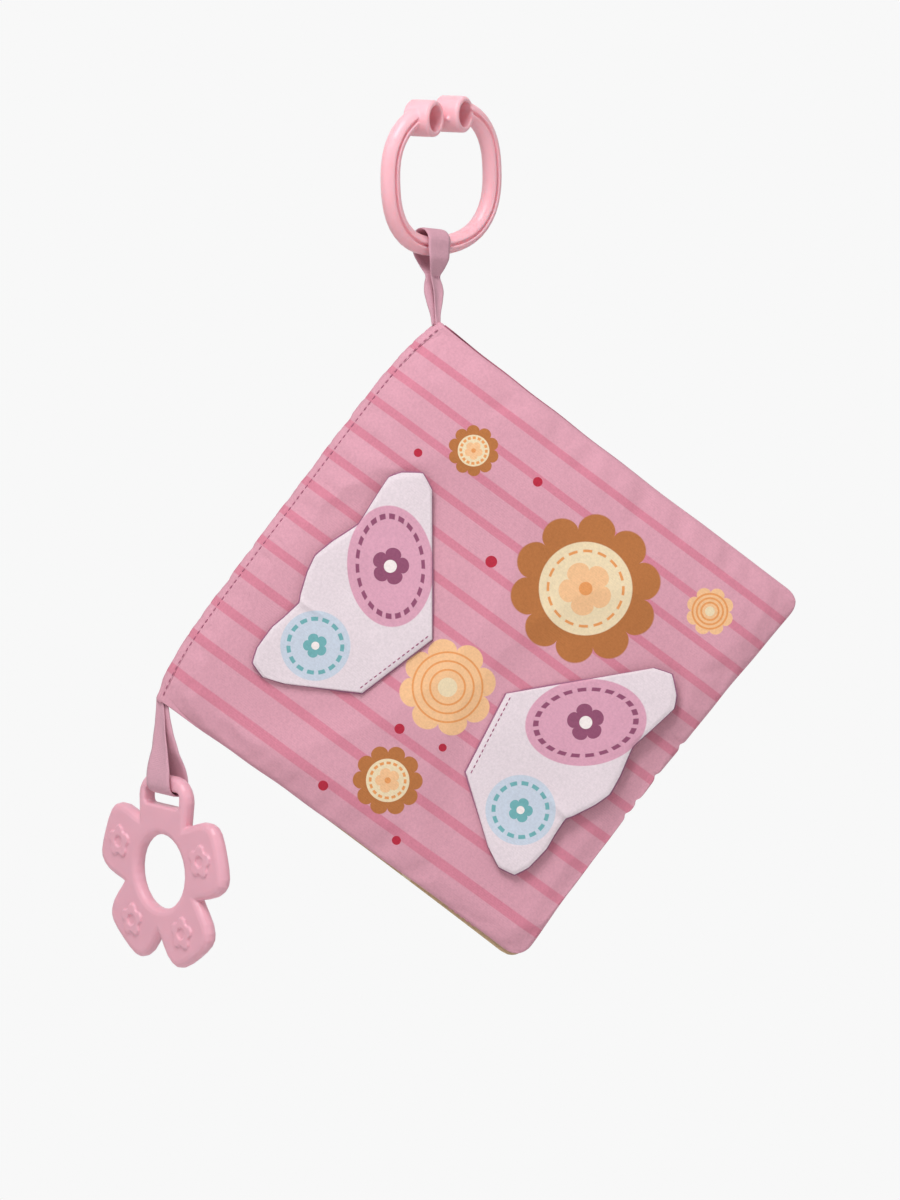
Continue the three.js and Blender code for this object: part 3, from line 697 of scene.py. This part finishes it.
def padPlace(u, v, side=-1):
    x, z = panelPlace(u, v)
    seam, fore, flank = edgeDistances(x, z)
    x += (cover["foreOut"] + 0.4 * wobble(z, 3, 17, 2.0)) * math.exp(-max(fore, 0) / 8)
    x -= cover["lap"] * math.exp(-max(seam, 0) / 1.5)
    z += math.copysign(cover["sideOut"], z) * math.exp(-max(flank, 0) / 4)
    z += 0.5 * wobble(x, 7, 19, 5.0) * math.exp(-max(flank, 0) / 8)
    if side > 0:
        z += cover["peek"] * (1 - u) * smooth(v, 0.9, 1)
    return x, z


def padHeight(x, z, crown, side):
    seam, fore, flank = edgeDistances(x, z)
    roundness = 1.0
    for distance, (reach, steep) in zip((seam, fore, flank), cover["edges"]):
        near = clamp(distance / cover["turn"])
        edge = math.sqrt(1 - (1 - near) ** 2)
        roundness *= steep * edge + (1 - steep) * (1 - (1 - clamp(distance / reach)) ** 2)
    height = cover["rim"] + cover["puff"] * roundness + book["crown"] * crown
    for distance, wave, pucker in [
        (seam, wobble(z + 0.12 * x, 1, 6.8, 3.0), cover["seamPuckers"]),
        (flank, wobble(x - 0.2 * flank, side, 8, 8.0), cover["sidePuckers"]),
        (fore, wobble(z, 5 * side, 7, 14.0), cover["forePuckers"]),
    ]:
        pull = clamp(wave * pucker["gain"] + pucker["bias"])
        fade = math.exp(-distance / (pucker["reach"] + pucker["spread"] * pull))
        height -= pucker["depth"] * pull * fade * smooth(distance, 0, pucker["start"])
    height -= 1.2 * foreNotch(z, max(fore, 0)) * math.exp(-fore / 10) * smooth(fore, 0, 1.5)
    for end, depth in cover["gathers"]:
        cornerX, cornerZ = x - panelStart, book["spineLength"] / 2 - end * z
        away = math.hypot(cornerX, cornerZ)
        gather = math.cos(11 * math.atan2(cornerZ, cornerX)) * math.exp(-away / 13) * smooth(away, 0, 5)
        height -= depth * (0.5 * (1 + gather) * math.exp(-away / 13) + 0.4 * gather)
    slow = 0.55 * wobble(x, z, 36, 1.0) + 0.4 * wobble(x, 1.6 * z, 19, 4.0)
    inside = coverTop(x, z) - 0.25 if side < 0 else 0
    return max(height + slow * roundness, inside * smooth(min(seam, fore, flank), 1, 2))


# Shares up the fore edge, with more of them at its notches
def notchedShares(shares):
    half = book["foreEdgeLength"] / 2
    close = [
        0.5 + (at - book["foreLift"] + off) / (2 * half)
        for at in book["notches"]
        for off in quickOr((-2, -1.2, -0.6, 0, 0.6, 1.2, 2))
    ]
    apart = 0.2 / half
    kept = [share for share in shares if min(abs(share - other) for other in close) > apart]
    close = [
        share for k, share in enumerate(close) if all(abs(share - other) > apart for other in close[:k])
    ]
    return sorted([*kept, *close])


def coverPad(name, side, crown, material):
    columns = edgedShares(cover["steps"])
    rows = notchedShares(columns)
    def front(u, v):
        x, z = padPlace(u, v, side)
        flatX, flatZ = panelPlace(u, v)
        height = padHeight(flatX, flatZ, crown(flatX, flatZ), side)
        return (x, side * height, z)
    def back(u, v):
        x, z = padPlace(u, v, side)
        return (x, side * (cover["back"] + 0.5 * fullness(*panelPlace(u, v))), z)
    points, faces = closedSheet(columns, rows, front, back)
    return pieceFrom(name, points, faces, bookFrame, material)


# Fills a pad: its seams and back are held, and no point moves further than the cap
def fillPad(pad):
    columns = edgedShares(cover["steps"])
    shares = [(u, v) for u in columns for v in notchedShares(columns)]
    free = {k for k, (u, v) in enumerate(shares) if min(edgeDistances(*panelPlace(u, v))) > cover["held"]}
    still = [vertex.co.copy() for vertex in pad.data.vertices]
    held = pad.vertex_groups.new(name="held")
    held.add([k for k in range(len(still)) if k not in free], 1.0, "REPLACE")
    cloth = pad.modifiers.new("fill", "CLOTH")
    for name, value in cover["fill"].items():
        setattr(cloth.settings, name, value)
    cloth.settings.effector_weights.gravity = 0
    cloth.collision_settings.use_collision = False
    cloth.point_cache.frame_start = 1
    cloth.point_cache.frame_end = cover["frames"]
    for number in range(1, cover["frames"] + 1):
        bpy.context.scene.frame_set(number)
    selectOnly(pad)
    bpy.ops.object.modifier_apply(modifier="fill")
    bpy.context.scene.frame_set(1)
    for vertex, start in zip(pad.data.vertices, still):
        move = vertex.co - start
        if move.length > cover["cap"]:
            vertex.co = start + move.normalized() * cover["cap"]
    pad.vertex_groups.clear()


def flatSwell(x, z):
    return min(swell(x, z), 0.8)


frontPad = coverPad("front_cover_pad", -1, swell, coverCotton)
fillPad(frontPad)
backPad = coverPad("back_cover_pad", 1, flatSwell, stripedCotton)
for pad, body in [(frontPad, "front_cover"), (backPad, "back_cover")]:
    applyModifier(pad, "SUBSURF", levels=1, render_levels=1)
    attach(pad, body)
    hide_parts(f"{body}_cloth")
print("cover pads made")

# Pages: thin cloths, turned in and sewn together along their rims. Insets and sags are in millimetres.
page = {"steps": quickOr(56), "leafInset": 1, "liningInset": 0.6, "ripple": 0.05}


def pageSheet(name, side, inset, sag, layers, body, node, seedValue):
    columns = edgedShares(page["steps"])
    rows = notchedShares(columns)
    def layer(base, lean):
        def point(u, v):
            x, z = panelPlace(u, v, inset, sag)
            edge = 1 - smooth(min(u, 1 - u, v, 1 - v), 0, 0.012)
            ripple = page["ripple"] * wobble(x, z, 22, seedValue) * (1 - edge)
            height = base(x, z) + ripple - lean * 0.12 * edge
            shrink = 0.3 * edge * lean
            return (x - shrink * (1 if u > 0.5 else -1), side * height, z)
        return point
    points, faces = closedSheet(columns, rows, layer(layers[0], -1), layer(layers[1], 1))
    sheetPiece = pieceFrom(name, points, faces, bookFrame, beigeCotton)
    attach(sheetPiece, body)
    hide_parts(node)


leaves = [("leaf_1", "front_cover", -1, 3, 11.0), ("leaf_2", "back_cover", 1, 0, 12.0)]
for leaf, coverName, side, sag, seed in leaves:
    inner, outer = ("back", "front") if side < 0 else ("front", "back")
    leafFaces = [(inner, (leafInner, leafInnerTop), 0), (outer, (leafOuter, leafOuterTop), 3)]
    for face, layers, shift in leafFaces:
        pageSheet(f"{leaf}_{face}_page", side, page["leafInset"], sag, layers, leaf,
                  f"{leaf}_{face}_cloth", seed + shift)
    pageSheet(f"{coverName}_page", side, page["liningInset"], 0, (lining, liningTop),
              coverName, f"{coverName}_lining", seed + 6)
print("pages made")


# A sewn outline: straight runs between its points, with the corners turned a little round
def sewnCurve(points, share):
    place = share * (len(points) - 1)
    k = min(int(place), len(points) - 2)
    t = place - k
    p = [Vector(points[clamp(k + off, 0, len(points) - 1)]) for off in (-1, 0, 1, 2)]
    curved = 0.5 * (
        2 * p[1]
        + (p[2] - p[0]) * t
        + (2 * p[0] - 5 * p[1] + 4 * p[2] - p[3]) * t * t
        + (3 * p[1] - p[0] - 3 * p[2] + p[3]) * t * t * t
    )
    return p[1].lerp(p[2], t).lerp(curved, 0.2)


wingOutline = [
    (reach * wing["reach"], (drop - wing["seamShare"]) * wing["height"]) for reach, drop in wing["edge"]
]


def wingPoint(hand, u, v, spread=0.0):
    middle, out, down = wingFrame(hand)
    edge = sewnCurve(wingOutline, u)
    seamDrop = mix(-wing["seam"], wing["seam"], u) / 2
    reach = edge[0] * v
    drop = mix(seamDrop, edge[1], v)
    place = middle + out * reach + down * drop
    if spread:
        inward = Vector((edge[0] * 0.45, mix(seamDrop, edge[1], 0.5) * 0.55))
        away = Vector((reach, drop)) - inward
        away.normalize()
        place += (out * away[0] + down * away[1]) * spread
    return place, reach, drop


# How far a flap stands above the cover's cloth
def wingBase(hand, place, reach, drop, v):
    lift = wing["lift"][hand] * (max(reach, 0) / wing["reach"]) ** 2
    curl = 0.35 * wobble(reach, drop, 15, 6.0 + hand) * smooth(v, 0.2, 0.7)
    crease = wing["crease"][hand] * bump(drop - 13.5, 0.35 * (reach - 40), 1.6) * smooth(reach, 26, 40)
    return coverTop(place.x, place.z) + wing["rest"] + lift + curl + crease


# A flap's layers: how high their two faces lie at the rim and inside it, how far the rim stands out, and
# the cut. The crackling film lies loose between the two cloths and is cut a little smaller than they are.
wingCut = (0.058, 0.094, 0.0032)
wingLayers = {
    "back": {"node": "back_cloth", "under": (0.0, 0.0), "over": (0.5, 0.4), "spread": 0.55, "cut": wingCut},
    "front": {"node": "front_cloth", "under": (0.55, 1.2), "over": (1.0, 1.6), "spread": 0, "cut": wingCut},
    "crackle": {
        "node": "film", "under": (0.7, 0.7), "over": (0.9, 0.9), "spread": 0, "cut": (0.05, 0.084, 0.0026),
    },
}


def wingCloth(hand, side, part, material):
    layer = wingLayers[part]
    count = quickOr(128)
    columns = [k / count for k in range(count + 1)]
    rows = [0, 0.008, 0.02, *[mix(0.04, 0.96, k / 22) for k in range(23)], 0.975, 0.988, 0.995, 1]
    if part == "crackle":
        columns = [share for share in columns if 0.03 < share < 0.97]
        rows = [share for share in rows if 0.06 < share < 0.94]
    def skin(heights, tuck):
        def point(u, v):
            edge = 1 - smooth(min(u, 1 - u) * 2.2, 0, 0.03) * smooth(1 - v, 0, 0.03) * smooth(v, 0, 0.03)
            place, reach, drop = wingPoint(hand, u, v, (layer["spread"] - tuck) * edge)
            height = mix(heights[1], heights[0], edge)
            return (place.x, -(wingBase(hand, place, reach, drop, v) + height), place.z)
        return point
    points, faces = closedSheet(columns, rows, skin(layer["under"], 0.12), skin(layer["over"], 0))
    piece = pieceFrom(f"{side}_wing_{part}", points, faces, bookFrame, material)
    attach(piece, f"{side}_wing")
    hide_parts(f"{side}_wing_{layer['node']}")


for hand, side, printed in [(-1, "left", leftWingCotton), (1, "right", rightWingCotton)]:
    wingCloth(hand, side, "back", mauveCotton)
    wingCloth(hand, side, "front", printed)
    wingCloth(hand, side, "crackle", film)
print("flaps made")

# The flaps press the filled cover down, inside an oval each and less and less beyond it, and the
# wadding keeps the cover up
pressed = {"front": -3, "oval": (31, 52), "fade": 0.55, "rise": 3, "play": 0.12}


def settleUnderFlaps(pad):
    toBook = bookFrame.inverted()
    for vertex in pad.data.vertices:
        place = toBook @ vertex.co
        if place.y > pressed["front"]:
            continue
        rise = pressed["rise"]
        for hand in (-1, 1):
            middle, out, down = wingFrame(hand)
            off = place - middle
            across = (off.dot(out) - 0.5 * wing["reach"]) / pressed["oval"][0]
            beyond = math.hypot(across, off.dot(down) / pressed["oval"][1]) - 1
            rise = min(rise, pressed["rise"] * smooth(beyond, 0, pressed["fade"]))
        top = coverTop(place.x, place.z)
        low = (top - pressed["play"]) * fullness(place.x, place.z)
        height = clamp(-place.y, low, top + pressed["play"] + rise)
        vertex.co = bookFrame @ Vector((place.x, -height, place.z))


settleUnderFlaps(frontPad)

# The spine: the cover cloth rolled round the sewn edges, outside the line of stitches. The seam's
# puckers draw it in.
spine = {"half": 2.45, "end": 1.6, "drawnX": 0.17, "drawnY": 0.135, "sides": 22, "steps": quickOr(260)}


def spineSection(z, scale):
    ring = []
    pucker = cover["seamPuckers"]
    for k in range(spine["sides"] + 1):
        turn = math.radians(mix(-90, 90, k / spine["sides"]))
        pull = clamp(wobble(z, 1 if turn < 0 else 7, 6.8, 3.0) * pucker["gain"] + pucker["bias"])
        x = book["seamInset"] * (1 - math.cos(turn) * (1 - spine["drawnX"] * pull))
        y = spine["half"] * math.sin(turn) * (1 - spine["drawnY"] * pull)
        ring.append((2 + (x - 2) * scale + spineEdge(z), y * scale, z))
    return ring


def spineRoll():
    half = book["spineLength"] / 2
    points = []
    for k in range(spine["steps"] + 1):
        z = mix(-half - 0.8, half + 0.8, k / spine["steps"])
        past = max(abs(z) - (half - 0.6), 0) / spine["end"]
        points += spineSection(z, math.sqrt(max(1 - past * past, 0.05)))
    faces = tubeFaces(spine["steps"] + 1, spine["sides"] + 1)
    return pieceFrom("spine_roll", points, faces, bookFrame, coverCotton)


roll = spineRoll()
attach(roll, "spine")
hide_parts("spine_fold")
print("spine made")


# One stitch is modelled, and every other stitch of a seam is a copy of it. A stitch is given as its
# middle, the way it runs and the side it shows.
def stitchSeam(name, places, length, thickness, material, body):
    deselectAll()
    bpy.ops.mesh.primitive_uv_sphere_add(segments=8, ring_count=6, radius=0.5)
    pattern = bpy.context.object
    bpy.ops.object.mode_set(mode="EDIT")
    bpy.ops.mesh.select_all(action="SELECT")
    bpy.ops.transform.resize(value=(thickness / 1000, thickness / 1000, length / 1000))
    bpy.ops.object.mode_set(mode="OBJECT")
    bpy.ops.object.shade_smooth()
    copies = []
    for centre, along, up in places:
        copy = bpy.data.objects.new(name, pattern.data.copy())
        bpy.context.collection.objects.link(copy)
        along = along.normalized()
        across = up.cross(along).normalized()
        up = along.cross(across)
        turn = Matrix((across, up, along)).transposed().to_4x4()
        copy.matrix_world = Matrix.Translation(centre) @ turn
        copies.append(copy)
    bpy.data.objects.remove(pattern)
    deselectAll()
    for copy in copies:
        copy.select_set(True)
    bpy.context.view_layer.objects.active = copies[0]
    bpy.ops.object.join()
    seam = bpy.context.object
    seam.name = name
    bpy.ops.object.transform_apply(location=True, rotation=True, scale=True)
    seam.data.materials.clear()
    seam.data.materials.append(material)
    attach(seam, body)


def stitchPlace(before, after, up):
    start, end = bookFrame @ Vector(before), bookFrame @ Vector(after)
    return (start + end) / 2, end - start, Vector(up)


# Each seam's pitch, the size of a stitch, how far each way along the seam its slope is measured, and
# where the seam runs: x across the panel and out from the cloth
stitches = {
    "spine": {"pitch": 2.6, "length": 1.7, "thick": 0.5, "reach": 1, "x": 2.85, "out": 2.42, "inset": 3},
    "flap": {"pitch": 2.15, "length": 1.5, "thick": 0.5, "reach": 0.5, "x": 1.9, "out": 1.55, "inset": 1.2},
    "closing": {"pitch": 2.7, "length": 1.7, "thick": 0.4, "reach": 0.6, "x": 136, "out": 2.5, "count": 5},
}
seam = stitches["spine"]
half = book["spineLength"] / 2 - seam["inset"]
count = int(2 * half / seam["pitch"])
for side, sideName in [(-1, "front"), (1, "back")]:
    places = []
    for k in range(count + 1):
        z = mix(-half, half, k / count)
        ends = [
            (seam["x"] + spineEdge(at), side * seam["out"], at)
            for at in (z - seam["reach"], z + seam["reach"])
        ]
        places.append(stitchPlace(*ends, (0, side, 0)))
    stitchSeam(f"spine_stitches_{sideName}", places, seam["length"], seam["thick"], seamThread,
               f"{sideName}_cover")

seam = stitches["flap"]
half = wing["seam"] / 2 - seam["inset"]
count = int((wing["seam"] - 2) / seam["pitch"])
for hand, side in [(-1, "left"), (1, "right")]:
    middle, out, down = wingFrame(hand)
    places = []
    for k in range(count + 1):
        place = middle + out * seam["x"] + down * mix(-half, half, k / count)
        place.y = -(coverTop(place.x, place.z) + wing["rest"] + seam["out"])
        places.append(stitchPlace(place - down * seam["reach"], place + down * seam["reach"], (0, -1, 0)))
    stitchSeam(f"{side}_wing_stitches", places, seam["length"], seam["thick"], plumThread, f"{side}_wing")

# A few stitches by hand close the hole at the bottom edge that the cover was turned through
seam = stitches["closing"]
places = []
for k in range(seam["count"]):
    ends = [
        padPlace((seam["x"] + seam["pitch"] * k + shift) / book["width"], 0)
        for shift in (-seam["reach"], seam["reach"])
    ]
    places.append(stitchPlace(*[(x, -seam["out"], z - 0.1) for x, z in ends], (0, -1, -0.6)))
stitchSeam("closing_stitches", places, seam["length"], seam["thick"], pinkThread, "front_cover")
print("stitches made")


def packedSolid(name):
    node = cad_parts[name]
    return bpy.data.objects[node] if isinstance(node, str) else node


# The ring and the teether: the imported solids, melted smooth as a mould leaves them
moulded = {
    "ring": {"solid": "hanging_ring", "voxel": quickOr(0.00028), "rounds": 16},
    "teether": {"solid": "teether", "voxel": quickOr(0.0003), "rounds": 3},
}


def meltedCopy(body, material):
    made = moulded[body]
    piece = bpy.data.objects.new(f"moulded_{body}", packedSolid(made["solid"]).data.copy())
    bpy.context.collection.objects.link(piece)
    selectOnly(piece)
    bpy.ops.object.mode_set(mode="EDIT")
    bpy.ops.mesh.select_all(action="SELECT")
    bpy.ops.mesh.remove_doubles(threshold=0.000001)
    bpy.ops.object.mode_set(mode="OBJECT")
    applyModifier(piece, "REMESH", mode="VOXEL", voxel_size=made["voxel"], adaptivity=0.0)
    applyModifier(piece, "SMOOTH", factor=0.5, iterations=made["rounds"])
    selectOnly(piece)
    bpy.ops.object.shade_smooth()
    piece.data.materials.clear()
    piece.data.materials.append(material)
    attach(piece, body)
    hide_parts(made["solid"])


meltedCopy("ring", ringPlastic)
meltedCopy("teether", teetherPlastic)
print("ring and teether made")

# Tapes: a loop of doubled tape, from the seam up one strand, round a bar and back down
tape = {"thickness": 0.8, "across": 10, "strandSteps": quickOr(60), "bendSteps": 16, "mapStep": 0.62}


def turnBy(x, y, z):
    return (
        Matrix.Rotation(math.radians(z), 3, "Z")
        @ Matrix.Rotation(math.radians(x), 3, "X")
        @ Matrix.Rotation(math.radians(y), 3, "Y")
    )


# A station is a row of numbers: its share of the way to the bar, how far the tape has turned towards the
# bar, its width, how far the strands are apart and aside, its curl and its twist
stationNames = ("share", "turn", "width", "apart", "aside", "curl", "twist")


# One station between the given ones. Its numbers are evened out over a short stretch of the tape.
def stationAt(stations, share):
    total = dict.fromkeys(stationNames, 0.0)
    spread = [share + 0.012 * k for k in range(-3, 4)]
    for near in spread:
        k = 0
        while k < len(stations) - 2 and near > stations[k + 1][0]:
            k += 1
        a, b = stations[k], stations[k + 1]
        t = clamp((near - a[0]) / (b[0] - a[0]))
        for name, low, high in zip(stationNames, a, b):
            total[name] += mix(low, high, t) / len(spread)
    return total


def tapeSection(centre, wide, out, width, curl=0.0, twist=0.0):
    wide = wide * math.cos(twist) + out * math.sin(twist)
    out = wide.cross(wide.cross(out)).normalized() * -1
    inner, outer = [], []
    for k in range(tape["across"] + 1):
        share = mix(-1, 1, k / tape["across"])
        lift = curl * width * (share * share - 0.35)
        place = centre + wide * (width / 2 * share) + out * lift
        half = tape["thickness"] / 2 * (1 - 0.45 * smooth(abs(share), 0.86, 1))
        inner.append(place - out * half)
        outer.append(place + out * half)
    return inner, outer


# The middle of the cloth in a bend round a bar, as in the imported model, where seven flats make the bend
def bendRadius(inner):
    return inner / math.cos(math.pi / 14) + tape["thickness"] / 2


def tapeLoop(part, loop):
    seam, bar, seamOut = Vector(loop["seam"]), Vector(loop["bar"]), Vector(loop["seamOut"])
    barAlong, barOut = loop["turn"] @ Vector((1, 0, 0)), loop["turn"] @ Vector((0, -1, 0))
    past = bar - seam
    past -= barAlong * past.dot(barAlong)
    past -= barOut * past.dot(barOut)
    past.normalize()
    seamWide = past.cross(seamOut).normalized()
    barWide = past.cross(barOut)
    strands = {1: [], -1: []}
    for side, strand in strands.items():
        for k in range(tape["strandSteps"]):
            share = mix(loop["start"], 0.97, k / tape["strandSteps"])
            at = stationAt(loop["stations"], share)
            wide = seamWide.lerp(barWide, clamp(at["turn"])).normalized()
            out = seamOut.lerp(barOut, clamp(at["turn"]))
            out = (out - wide * out.dot(wide)).normalized() * side
            centre = seam.lerp(bar, share) + out * (at["apart"] / 2) + wide * (side * at["aside"])
            strand.append(tapeSection(centre, wide, out, at["width"], at["curl"], side * at["twist"]))
    bend = []
    for k in range(tape["bendSteps"] + 1):
        angle = math.pi * k / tape["bendSteps"]
        out = barOut * math.cos(angle) + past * math.sin(angle)
        centre = bar + past * loop["rise"] + out * loop["radius"]
        bend.append(tapeSection(centre, barWide, out, loop["width"]))
    sections = strands[1] + bend + strands[-1][::-1]
    points = []
    # the back strand's sections are mirrored, so their points are taken in one order by place
    reference = sections[0][0]
    for inner, outer in sections:
        if (inner[0] - reference[0]).length > (inner[-1] - reference[0]).length:
            inner, outer = inner[::-1], outer[::-1]
        reference = inner
        points += [*inner, *outer[::-1]]
    count = tape["across"] + 1
    piece = pieceFrom(f"{part}_loop", points, tubeFaces(len(sections), 2 * count), worldFrame, mauveTape)
    layer = piece.data.uv_layers.new(name="tape")
    for corner, flat in zip(piece.data.loops, layer.data):
        row, k = divmod(corner.vertex_index, 2 * count)
        across = k if k < count else 2 * count - 1 - k
        flat.uv = (across * loop["width"] / count, row * tape["mapStep"])
    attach(piece, f"{part}_tape")
    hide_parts(f"{part}_tape")
    return piece


# Where the ring hangs, as packed. The tape goes round its tube with some play, a little aside of the
# ring's lowest place, where the ring already rises.
hung = {"centre": (0.5111, 4.2608, -15.3547), "radius": 25.3, "tube": 3.7, "play": 0.6, "aside": 1.6}
ringFrame = turnBy(10.3, 0, 42.6)
ringAlong = ringFrame @ Vector((1, 0, 0))
hangingWidth = 10.6
farEdge = hangingWidth / 2 + hung["aside"]
hangingLoop = {
    "start": -0.05,
    "seam": (-1.7509, 7.5907, -68.547),
    "bar": ringFrame @ Vector((0, 0, -hung["radius"])) + Vector(hung["centre"]) - ringAlong * hung["aside"],
    "seamOut": (1, 0, 0),
    "turn": ringFrame,
    "radius": bendRadius(hung["tube"] + hung["play"]),
    "rise": hung["radius"] - math.sqrt(hung["radius"] ** 2 - farEdge**2),
    "width": hangingWidth,
    "stations": [
        (-0.05, 0, 2.2, 1.4, 0, 0, 0.85),
        (0.08, 0, 2.5, 1.5, 0, 0.1, 0.85),
        (0.22, 0.05, 3.7, 2.1, 0.3, 0.2, 0.8),
        (0.38, 0.2, 4.7, 2.7, 0.4, 0.22, 0.7),
        (0.5, 0.55, 4.9, 2.2, 0.2, 0.16, 0.35),
        (0.58, 0.75, 5, 1.5, 0, 0.1, 0),
        (0.62, 0.8, 5.6, 2, 0, 0.12, 0),
        (0.7, 0.95, 7.2, 5, 0, 0.06, 0),
        (0.84, 1, 9.6, 9.2, 0, 0, 0),
        (1, 1, hangingWidth, 9.3, 0, 0, 0),
    ],
}
hangingPiece = tapeLoop("hanging", hangingLoop)

# The stitches that gather the tape under the ring
gathered = {"share": 0.585, "count": 5, "length": 0.9, "thick": 0.34, "out": 1.3, "half": 2.3, "lean": 0.25}
neck = Vector(hangingLoop["seam"]).lerp(hangingLoop["bar"], gathered["share"])
for side, sideName in [(1, "front"), (-1, "back")]:
    out = ringFrame @ Vector((0, -side, 0))
    places = []
    for k in range(gathered["count"]):
        across = mix(-1, 1, k / (gathered["count"] - 1)) * gathered["half"]
        place = neck + out * gathered["out"] + ringAlong * across
        places.append((place / 1000, Vector((gathered["lean"] * (-1) ** k, 0, 1)), out))
    stitchSeam(f"gather_stitches_{sideName}", places, gathered["length"], gathered["thick"], mauveThread,
               "hanging_tape")

# The teether's bar is 5.8 mm by 5.6 mm, with edges rounded by 1 mm
teetherRadius = bendRadius(math.hypot(5.8 / 2 - 1, 5.6 / 2 - 1) + 1 + 0.3)
teetherLoop = {
    "start": -0.015,
    "seam": (-103.836, 7.591, -211.373),
    "bar": (-102.036, 7.591, -240.773),
    "seamOut": (-0.7997, 0, 0.6004),
    "turn": turnBy(2.5, 6, -46.8),
    "radius": teetherRadius,
    "rise": 0,
    "width": 13.4,
    "stations": [
        (-0.05, 0, 4, 2.1, 0, 0, 1.1),
        (0.12, 0.05, 4.9, 2.1, 0, 0.1, 1),
        (0.35, 0.35, 7, 2.4, 0, 0.16, 0.5),
        (0.6, 0.75, 10, 3.8, 0, 0.08, 0.12),
        (0.82, 1, 12.9, 7.4, 0, 0.02, 0),
        (0.94, 1, 13.4, 2 * teetherRadius, 0, 0, 0),
        (1, 1, 13.4, 2 * teetherRadius, 0, 0, 0),
    ],
}
teetherTapePiece = tapeLoop("teether", teetherLoop)
print("tapes made")

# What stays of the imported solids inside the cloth
inside = {"sewn_leaf_edges": beigeCotton, "front_cover_wadding": wadding, "back_cover_wadding": wadding}
inside |= {f"{part}_film": film for part in ("front_cover", "back_cover", "leaf_1", "leaf_2")}
for name, material in inside.items():
    solid = packedSolid(name)
    solid.data.materials.clear()
    solid.data.materials.append(material)

# A pale floor below, a white room round it, and three soft lamps. The camera sees the floor's shading
# only below the book, and plain white beyond.
studio = {"floor": -0.46, "white": "#F8F8F8", "room": 0.32}
deselectAll()
bpy.ops.mesh.primitive_grid_add(
    x_subdivisions=4, y_subdivisions=4, size=8, location=(0, 0, studio["floor"])
)
floor = bpy.context.object
floor.name = "studio_floor"
bpy.ops.object.transform_apply(location=True)
material, tree = newMaterial("painted studio floor")
paths = addNode(tree, "LightPath")
coordinates = addNode(tree, "TexCoord").outputs["Object"]
away = addNode(tree, "VectorMath", coordinates, (0, 0, studio["floor"]), operation="DISTANCE")
clear = addNode(tree, "MapRange", away.outputs["Value"], 0.12, 0.3, 0.3, 1.0)
grain = addNode(tree, "TexNoise", named={"Vector": coordinates, "Scale": 40.0})
relief = addNode(tree, "Bump", named={"Height": grain, "Strength": 0.02})
matt = addNode(
    tree, "BsdfPrincipled", named={"Base Color": colour("#F2F2F2"), "Roughness": 0.9, "Normal": relief},
)
seen = addNode(tree, "Math", paths.outputs["Is Camera Ray"], clear, operation="MULTIPLY")
light = addNode(tree, "Emission", colour(studio["white"]), 1.0)
floor.data.materials.append(finishMaterial(material, addNode(tree, "MixShader", seen, matt, light)))

world = bpy.data.worlds.new("studio")
bpy.context.scene.world = world
world.use_nodes = True
tree = world.node_tree
tree.nodes.clear()
rays = addNode(tree, "LightPath").outputs
glossy = addNode(tree, "Math", rays["Is Camera Ray"], rays["Is Glossy Ray"], operation="MAXIMUM")
bare = addNode(tree, "Math", glossy, rays["Is Transmission Ray"], operation="MAXIMUM")
room = addNode(tree, "Background", (1, 1, 1, 1), studio["room"])
white = addNode(tree, "Background", colour(studio["white"]), 1.0)
addNode(tree, "OutputWorld", addNode(tree, "MixShader", bare, room, white))

lamps = {
    "key": {"place": (-0.22, -0.65, 0.6), "size": 0.42, "power": 7.4},
    "left": {"place": (-0.9, -0.85, -0.1), "size": 1, "power": 1.9},
    "right": {"place": (0.85, -0.75, 0.22), "size": 0.8, "power": 1.9},
}
for name, lamp in lamps.items():
    data = bpy.data.lights.new(name, "AREA")
    data.shape = "SQUARE"
    data.size = lamp["size"]
    data.energy = lamp["power"]
    thing = bpy.data.objects.new(name, data)
    thing.location = lamp["place"]
    aim = Vector((0, 0, -0.18)) - Vector(lamp["place"])
    thing.rotation_euler = aim.to_track_quat("-Z", "Y").to_euler()
    bpy.context.collection.objects.link(thing)
print("studio made")

bpy.context.scene.view_settings.view_transform = "Standard"
